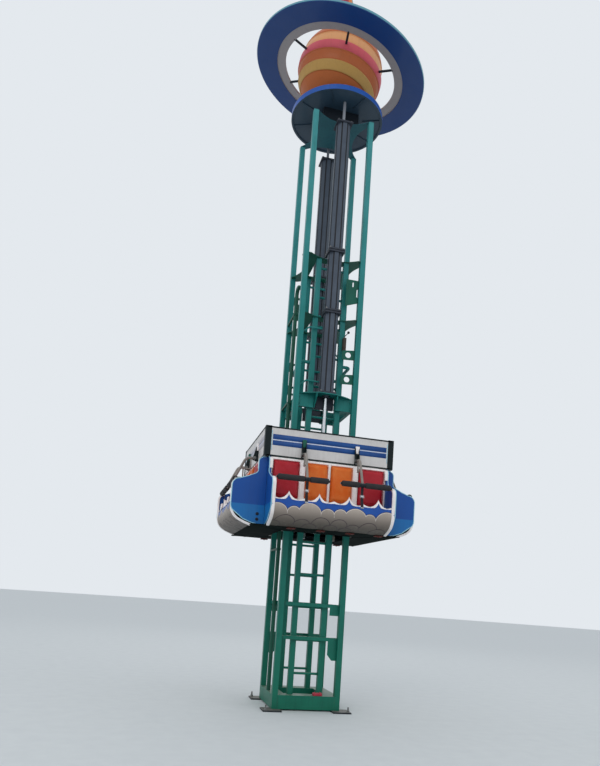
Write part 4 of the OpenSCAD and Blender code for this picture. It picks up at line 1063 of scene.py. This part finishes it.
CHEEK_R = 0.100
CHEEK_FRONT = 1.328
CHEEK_LINE = ([(0.890, 3.457), (0.930, 3.457)] + arc(0.925, 3.388, 0.060, 70, 0, 8)
              + [(0.985, 3.330), (0.985, 3.290)] + arc(1.045, 3.270, 0.060, 180, 250, 8)
              + [(1.075, 3.190), (1.120, 3.168), (1.175, 3.148), (1.230, 3.128)]
              + arc(CHEEK_FRONT - CHEEK_R, 3.028, CHEEK_R, 80, 0, 10) + [(CHEEK_FRONT, 2.90)]
              + arc(CHEEK_FRONT - CHEEK_R, 2.760, CHEEK_R, 0, -60, 8)
              + [(1.215, 2.626), (1.150, 2.578), (1.090, 2.556), (1.030, 2.535), (0.945, 2.518),
                 (0.870, 2.504)])
CHEEK_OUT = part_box("cheeks_x")[1].x
BEAD_WIDE = 0.0065
bead_bm, cheek_bolts_bm = bmesh.new(), bmesh.new()
for s in (-1, 1):
    swept(bead_bm, [(s * (CHEEK_OUT - 0.002), -d + 0.003, z) for d, z in CHEEK_LINE], BEAD_WIDE, sides=8)
for z in (2.660, 2.585):
    hex_bolt(cheek_bolts_bm, (CHEEK_OUT, -0.955, z), (1, 0, 0), across=0.024, head=0.012)
bead_paint = coating("pale_blue_bead", "#A2D6E6", "#8FC4D4", roughness=0.4, dirt="#56808C", chips=0.2)
on_each_side("cheek_bead", finish_object("bead", bead_bm, bead_paint))
cheek_bolts = finish_object("cheek_bolts", cheek_bolts_bm, dark_enamel, smooth=25)
on_each_side("cheek_bolts", cheek_bolts)

# White end frames
# A white moulded strip closes each end of a bench's front, over the edge of the cheek, from the
# shoulder down to the skirt's lower edge. A shorter one trims the cheek's ear beside the pads.
FRAME_W_IN, FRAME_W_OUT = BENCH_HALF - 0.022, BENCH_HALF + 0.022
front_line = ([p for p in CHEEK_LINE if p[0] > 1.22 and 2.80 < p[1] < 3.13]
              + [tuple(p) for p in FINE[::6] if p.y < 2.76])
ear_line = [p for p in CHEEK_LINE if p[1] > 3.28 and p[0] > 0.94]
ends_bm = bmesh.new()
for s in (-1, 1):
    for line, rise in ((front_line, 0.008), (ear_line, 0.004)):
        sections = []
        for i, (d, z) in enumerate(line):
            ahead = Vector(line[min(i + 1, len(line) - 1)]) - Vector(line[max(i - 1, 0)])
            out = Vector((-ahead.y, ahead.x)).normalized()
            ring = []
            for x, lift in ((FRAME_W_IN, -0.02), (FRAME_W_IN, rise - 0.006), (FRAME_W_IN + 0.006, rise),
                            (FRAME_W_OUT - 0.006, rise), (FRAME_W_OUT, rise - 0.006), (FRAME_W_OUT, -0.02)):
                point = Vector((d, z)) + lift * out
                ring.append((s * x, -point.x, point.y))
            sections.append(ring if s > 0 else ring[::-1])
        loft(ends_bm, sections)
on_each_side("bench_end_frame", finish_object("ends", ends_bm, white_gelcoat, smooth=50))


# Back pads
# Foam blocks under stretched vinyl, stapled to a board and screwed to the bench, red on the outer
# seats and orange on the inner ones. The foam swells between the corners and piping runs round
# the face.
PAD_H = 0.520
PAD_Z = 2.900 + PAD_H / 2
PADS = (("red", -0.800, -0.428), ("orange", -0.336, -0.023), ("orange", 0.023, 0.336), ("red", 0.428, 0.800))
PAD_CAP = 0.010


def vinyl(name, colour, worn):
    """Coated vinyl: a leather-like grain, soft gloss, paler where it is rubbed."""
    material, tree, shader = new_material(name)
    where = add(tree, "ShaderNodeTexCoord").outputs["Object"]
    rubbed = add(tree, "ShaderNodeTexNoise", {"Vector": where, "Scale": 7.0, "Detail": 5.0, "Roughness": 0.6})
    share = add(tree, "ShaderNodeMapRange", {"Value": rubbed.outputs["Fac"], "From Min": 0.4,
                "From Max": 0.75})
    tone = add(tree, "ShaderNodeMix", {"Factor": share.outputs["Result"], 6: linear(colour), 7: linear(worn)},
               data_type="RGBA")
    tree.links.new(tone.outputs[2], shader.inputs["Base Color"])
    gloss = add(tree, "ShaderNodeMapRange", {"Value": rubbed.outputs["Fac"], "To Min": 0.36, "To Max": 0.58})
    tree.links.new(gloss.outputs["Result"], shader.inputs["Roughness"])
    # Grain cells of about 4 mm, drawn coarser than the real 1 mm so that they show
    cells = add(tree, "ShaderNodeTexVoronoi", {"Vector": where, "Scale": 250.0}, feature="DISTANCE_TO_EDGE")
    relief = add(tree, "ShaderNodeBump", {"Height": cells.outputs["Distance"], "Strength": 0.35,
                 "Distance": 0.0008})
    creases = add(tree, "ShaderNodeTexNoise", {"Vector": where, "Scale": 22.0, "Detail": 3.0,
                  "Distortion": 1.2})
    folds = add(tree, "ShaderNodeBump", {"Height": creases.outputs["Fac"], "Strength": 0.3, "Distance": 0.004,
                "Normal": relief.outputs["Normal"]})
    tree.links.new(folds.outputs["Normal"], shader.inputs["Normal"])
    shader.inputs["Specular IOR Level"].default_value = 0.3
    return material


def rounded_outline(w, h, r):
    """Outline of a rectangle with round corners, centred, as (x, z) points."""
    points = []
    for cx, cz, start in ((w / 2 - r, h / 2 - r, 0), (-w / 2 + r, h / 2 - r, 90),
                          (-w / 2 + r, -h / 2 + r, 180), (w / 2 - r, -h / 2 + r, 270)):
        points += arc(cx, cz, r, start, start + 90, 8)
    return points


def swollen_pad(width):
    """One pad at the origin with its back at y = 0, swollen by its foam."""
    shape = bmesh.new()
    outline = rounded_outline(width - 0.010, PAD_H - 0.010, 0.016)
    loft(shape, [[(x * inset, -depth, z * inset) for x, z in outline]
                 for depth, inset in ((0.001, 1.0), (0.030, 1.0), (0.046, 0.992), (0.054, 0.965))])
    made = finish_object("pad_shape", shape, red_vinyl)
    remesh = made.modifiers.new("voxels", "REMESH")
    remesh.mode = "VOXEL"
    remesh.voxel_size = 0.006
    bpy.context.view_layer.objects.active = made
    bpy.ops.object.modifier_apply(modifier=remesh.name)
    start = [v.co.copy() for v in made.data.vertices]
    board = made.vertex_groups.new(name="board")
    board.add([v.index for v in made.data.vertices if v.co.y > -0.012], 1.0, "REPLACE")
    cloth = made.modifiers.new("foam", "CLOTH")
    cloth.settings.use_pressure = True
    cloth.settings.uniform_pressure_force = 4.0
    cloth.settings.vertex_group_mass = "board"
    cloth.settings.effector_weights.gravity = 0.0
    cloth.settings.quality = 5
    cloth.point_cache.frame_start = 1
    cloth.point_cache.frame_end = 20
    for step in range(1, 21):
        scene.frame_set(step)
    posed = made.evaluated_get(bpy.context.evaluated_depsgraph_get())
    swelled = [v.co.copy() for v in posed.data.vertices]
    made.modifiers.remove(cloth)
    scene.frame_set(1)
    for vert, old, new in zip(made.data.vertices, start, swelled):
        move = new - old
        if move.length > PAD_CAP:
            move *= PAD_CAP / move.length
        vert.co = old + move
    made.data.shade_smooth()
    return made


red_vinyl = vinyl("red_vinyl", "#AA1020", "#B22836")
orange_vinyl = vinyl("orange_vinyl", "#DA600E", "#DF7A34")
for colour, cover, width in (("red", red_vinyl, 0.376), ("orange", orange_vinyl, 0.317)):
    pad_shape = swollen_pad(width)
    piping_bm = bmesh.new()
    ring = [(x, -0.052, z) for x, z in rounded_outline(width - 0.018, PAD_H - 0.018, 0.015)]
    swept(piping_bm, ring + ring[:2], 0.0032, sides=6, caps=False)
    piping_shape = finish_object("piping_shape", piping_bm, cover)
    for side, turn in SIDES.items():
        for seat, (kind, x0, x1) in enumerate(PADS):
            if kind != colour:
                continue
            place = Matrix.Rotation(math.radians(turn), 4, "Z") @ Matrix.Translation(
                ((x0 + x1) / 2, -PAD_Y - 0.0005, PAD_Z))
            for shape, title in ((pad_shape, "back_pad"), (piping_shape, "pad_piping")):
                mesh = shape.data.copy()
                mesh.transform(place)
                mesh.materials.clear()
                mesh.materials.append(cover)
                one = bpy.data.objects.new(f"{title}_{side}_{seat + 1}", mesh)
                scene.collection.objects.link(one)
                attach(one, "gondola")
    bpy.data.objects.remove(pad_shape)
    bpy.data.objects.remove(piping_shape)
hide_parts("back_pads_red")
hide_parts("back_pads_orange")


# Lap bars
# Bent round steel tube in worn grey enamel, pinned to brackets on the header. Each T bar carries
# two rollers of black closed-cell foam, with a split clamp of dark steel between them.
bar_enamel = coating("grey_bar_enamel", "#948D86", "#7D766F", roughness=0.4, dirt="#46413B", bare="#5E5A52",
                     chips=0.6, runs=0.4, patch_mm=90, edge_mm=2)
dress(bar_enamel, *[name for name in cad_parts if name.startswith("lap_bar_")])

# Closed-cell foam is a dull grey-black with fine pores
foam, tree, shader, where = mottled("closed_cell_foam", "#1C1B1D", "#2F2D2F", 0.85, 18.0)
# Foam cells of about 2 mm, drawn coarser than the real ones so that they show
cells = add(tree, "ShaderNodeTexVoronoi", {"Vector": where, "Scale": 420.0})
relief = add(tree, "ShaderNodeBump", {"Height": cells.outputs["Distance"], "Strength": 0.5,
             "Distance": 0.0012})
tree.links.new(relief.outputs["Normal"], shader.inputs["Normal"])

ROLLER_R = 0.0395
ARM_X = 0.385
T_GAP = 0.040
CLAMP = ((0.0, -0.0385), (0.026, -0.0385), (0.029, -0.035), (0.029, -0.006), (0.0255, -0.004),
         (0.0255, 0.004), (0.029, 0.006), (0.029, 0.035), (0.026, 0.0385), (0.0, 0.0385))
END_CAP = ((0.0, -0.0105), (0.0165, -0.0105), (0.0175, -0.009), (0.0175, 0.009), (0.0165, 0.0105),
           (0.0, 0.0105))


def roller(bm, start, end, y, z, seed):
    """A foam sleeve along X with rounded ends and a slightly uneven girth."""
    steps = 40
    sections = []
    for k in range(steps + 1):
        x = start + (end - start) * k / steps
        nearest = min(abs(x - start), abs(x - end))
        girth = ROLLER_R * math.sqrt(max(0.0, 1 - max(0.0, 1 - nearest / 0.014) ** 2 * 0.3))
        ring = []
        for a in (2 * math.pi * m / 28 for m in range(28)):
            dent = 1 - 0.035 * max(0.0, noise.noise(Vector((x * 9 + seed, math.cos(a), math.sin(a)))))
            ring.append((x, y + girth * dent * math.cos(a), z + girth * dent * math.sin(a)))
        sections.append(ring)
    loft(bm, sections)


low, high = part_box("rollers_front_1")
T_Y, T_Z = (low.y + high.y) / 2, (low.z + high.z) / 2
for side, turn in SIDES.items():
    for number, s in ((1, -1), (2, 1)):
        body = f"bar_{side}_{number}"
        spin = Matrix.Rotation(math.radians(turn), 4, "Z")
        low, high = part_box(f"rollers_front_{number}")
        arm = s * ARM_X
        sleeve_bm = bmesh.new()
        roller(sleeve_bm, low.x, arm - T_GAP, T_Y, T_Z, number * 3)
        roller(sleeve_bm, arm + T_GAP, high.x, T_Y, T_Z, number * 5)
        bmesh.ops.transform(sleeve_bm, matrix=spin, verts=sleeve_bm.verts)
        sleeve = finish_object(f"foam_rollers_{side}_{number}", sleeve_bm, foam, smooth=50)
        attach(sleeve, body)
        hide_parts(f"rollers_{side}_{number}")
        clamp_bm = bmesh.new()
        lay = Matrix.Rotation(math.pi / 2, 4, "Y")
        turned(clamp_bm, CLAMP, sides=28, place=Matrix.Translation((arm, T_Y, T_Z)) @ lay)
        for offset in (-0.021, 0.021):
            hex_bolt(clamp_bm, (arm + offset, T_Y - 0.028, T_Z - 0.004), (0, -1, 0), across=0.013, head=0.007)
        for end in (low.x - 0.010, high.x + 0.010):
            turned(clamp_bm, END_CAP, sides=24, place=Matrix.Translation((end, T_Y, T_Z)) @ lay)
        bmesh.ops.transform(clamp_bm, matrix=spin, verts=clamp_bm.verts)
        clamps = finish_object(f"bar_clamps_{side}_{number}", clamp_bm, dark_enamel, smooth=30)
        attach(clamps, body)

# Safety straps
# Black polyester webbing held in each T bar's clamp, with a pressed steel buckle. The lower end
# hooks on a small steel plate under the bench's rim.
STRAP_W, STRAP_T, HEM_T = 0.040, 0.0022, 0.0046
STRAP_TOP, STRAP_END = Vector((T_Y + 0.004, T_Z - 0.027)), Vector((-1.3190, 2.816))
HEM_AT, BUCKLE_AT = 0.86, 0.42
BUCKLE_W, BUCKLE_H, BUCKLE_WIRE = 0.027, 0.018, 0.0028
LATCH_LOW, LATCH_HIGH = (-0.019, -0.011, 0.0012), (0.019, 0.012, 0.0062)
TIP_LOW, TIP_HIGH = (-0.022, -0.007, -0.0028), (0.022, 0.006, 0.0028)
PLATE_LOW, PLATE_HIGH = Vector((-0.015, -1.3095, 2.802)), Vector((0.015, -1.3020, 2.830))
# Woven polyester is dull, with a sheenless grain of slanting ribs
webbing, tree, shader, where = mottled("black_polyester_webbing", "#16121A", "#2A2228", 0.9, 30.0, 4.0)
# Ribs of about 6 mm, drawn coarser than the real 1 mm so that they show
ribs = add(tree, "ShaderNodeTexWave", {"Vector": where, "Scale": 110.0, "Distortion": 0.4},
           bands_direction="DIAGONAL")
relief = add(tree, "ShaderNodeBump", {"Height": ribs.outputs["Fac"], "Strength": 0.6, "Distance": 0.0006})
tree.links.new(relief.outputs["Normal"], shader.inputs["Normal"])


def strap_point(t):
    """Place down the strap as (y, z): it hangs straight from the clamp, then leans in to the rim."""
    knee = Vector((STRAP_TOP.x + 0.002, STRAP_TOP.y + 0.55 * (STRAP_END.y - STRAP_TOP.y)))
    return (1 - t) ** 2 * STRAP_TOP + 2 * t * (1 - t) * knee + t ** 2 * STRAP_END


def strap_frame(x, t):
    """Matrix with X across the strap, Y down it and Z off its face at a share of its length."""
    down = (strap_point(min(1.0, t + 0.02)) - strap_point(max(0.0, t - 0.02))).normalized()
    axes = Matrix(((1, 0, 0), (0, down.x, down.y), (0, down.y, -down.x)))
    return Matrix.Translation((x, *strap_point(t))) @ axes.transposed().to_4x4()


for side, turn in SIDES.items():
    for number, s in ((1, -1), (2, 1)):
        spin = Matrix.Rotation(math.radians(turn), 4, "Z")
        strap_bm, buckle_bm = bmesh.new(), bmesh.new()
        sections = []
        for k in range(25):
            t = k / 24
            thick = (HEM_T if t > HEM_AT else STRAP_T) / 2
            wide = STRAP_W / 2 + 0.0006 * math.sin(9 * t + number)
            flat = ((-wide, 0), (-wide + thick, -thick), (wide - thick, -thick), (wide, 0),
                    (wide - thick, thick), (-wide + thick, thick))
            place = strap_frame(s * ARM_X + 0.0012 * math.sin(5 * t + number), t)
            sections.append([place @ Vector((u, 0, w)) for u, w in flat])
        loft(strap_bm, sections)
        ring = []
        for a in (2 * math.pi * k / 40 for k in range(40)):
            square = 1.12 - 0.12 * math.cos(4 * a)
            ring.append((BUCKLE_W * math.cos(a) * square, BUCKLE_H * math.sin(a) * square, 0.0))
        swept(buckle_bm, ring + ring[:2], BUCKLE_WIRE, sides=8, caps=False)
        block(buckle_bm, LATCH_LOW, LATCH_HIGH, 0.002)
        bmesh.ops.transform(buckle_bm, matrix=strap_frame(s * ARM_X, BUCKLE_AT), verts=buckle_bm.verts)
        block(buckle_bm, TIP_LOW, TIP_HIGH, 0.0012, place=strap_frame(s * ARM_X, 1.0))
        for title, made, finish, slot in (("safety_strap", strap_bm, webbing, "black_foam"),
                                          ("strap_buckle", buckle_bm, chrome, "bright_rod")):
            bmesh.ops.transform(made, matrix=spin, verts=made.verts)
            one = finish_object(f"{title}_{side}_{number}", made, finish, smooth=35)
            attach(one, f"bar_{side}_{number}")
            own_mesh(one)
anchor_bm = bmesh.new()
for s in (-1, 1):
    block(anchor_bm, PLATE_LOW, PLATE_HIGH, 0.0015, place=Matrix.Translation((s * ARM_X, 0, 0)))
on_each_side("strap_anchor", finish_object("anchors", anchor_bm, dark_enamel, smooth=25))

# Bracket covers
# Folded covers over the lap bars' brackets, green over one and white over the other, above a
# green-black filler plate, with the pivot pins' heads beside them.
PIVOT_Y, PIVOT_Z = 0.985, 3.520
COVER_X, COVER_Y, COVER_Z = (-0.024, 0.033), 0.030, (3.630, 3.737)
FILLER_HALF, FILLER_Y, FILLER_Z = 0.0215, 0.022, (3.500, 3.6295)
BACK = -HEADER_FACE - 0.0015
for s, cover_finish, tone in ((-1, shade_green, "green"), (1, white_gelcoat, "white")):
    cover_bm = bmesh.new()
    block(cover_bm, (s * ARM_X + COVER_X[0], -HEADER_FACE - COVER_Y, COVER_Z[0]),
          (s * ARM_X + COVER_X[1], BACK, COVER_Z[1]), 0.004)
    on_each_side(f"bracket_cover_{tone}", finish_object("cover", cover_bm, cover_finish))
filler_bm, pin_bm = bmesh.new(), bmesh.new()
for s in (-1, 1):
    block(filler_bm, (s * ARM_X - FILLER_HALF, -HEADER_FACE - FILLER_Y, FILLER_Z[0]),
          (s * ARM_X + FILLER_HALF, BACK, FILLER_Z[1]), 0.003)
    for z in (3.552, 3.600):
        hex_bolt(filler_bm, (s * ARM_X, -HEADER_FACE - FILLER_Y, z), (0, -1, 0), across=0.013, head=0.006)
    for c in (-1, 1):
        hex_bolt(pin_bm, (s * ARM_X + c * 0.030, -PIVOT_Y, PIVOT_Z), (c, 0, 0), across=0.027, head=0.012)
on_each_side("bracket_filler", finish_object("filler", filler_bm, corner_enamel, smooth=25))
on_each_side("pivot_nuts", finish_object("pins", pin_bm, zinc, smooth=25))
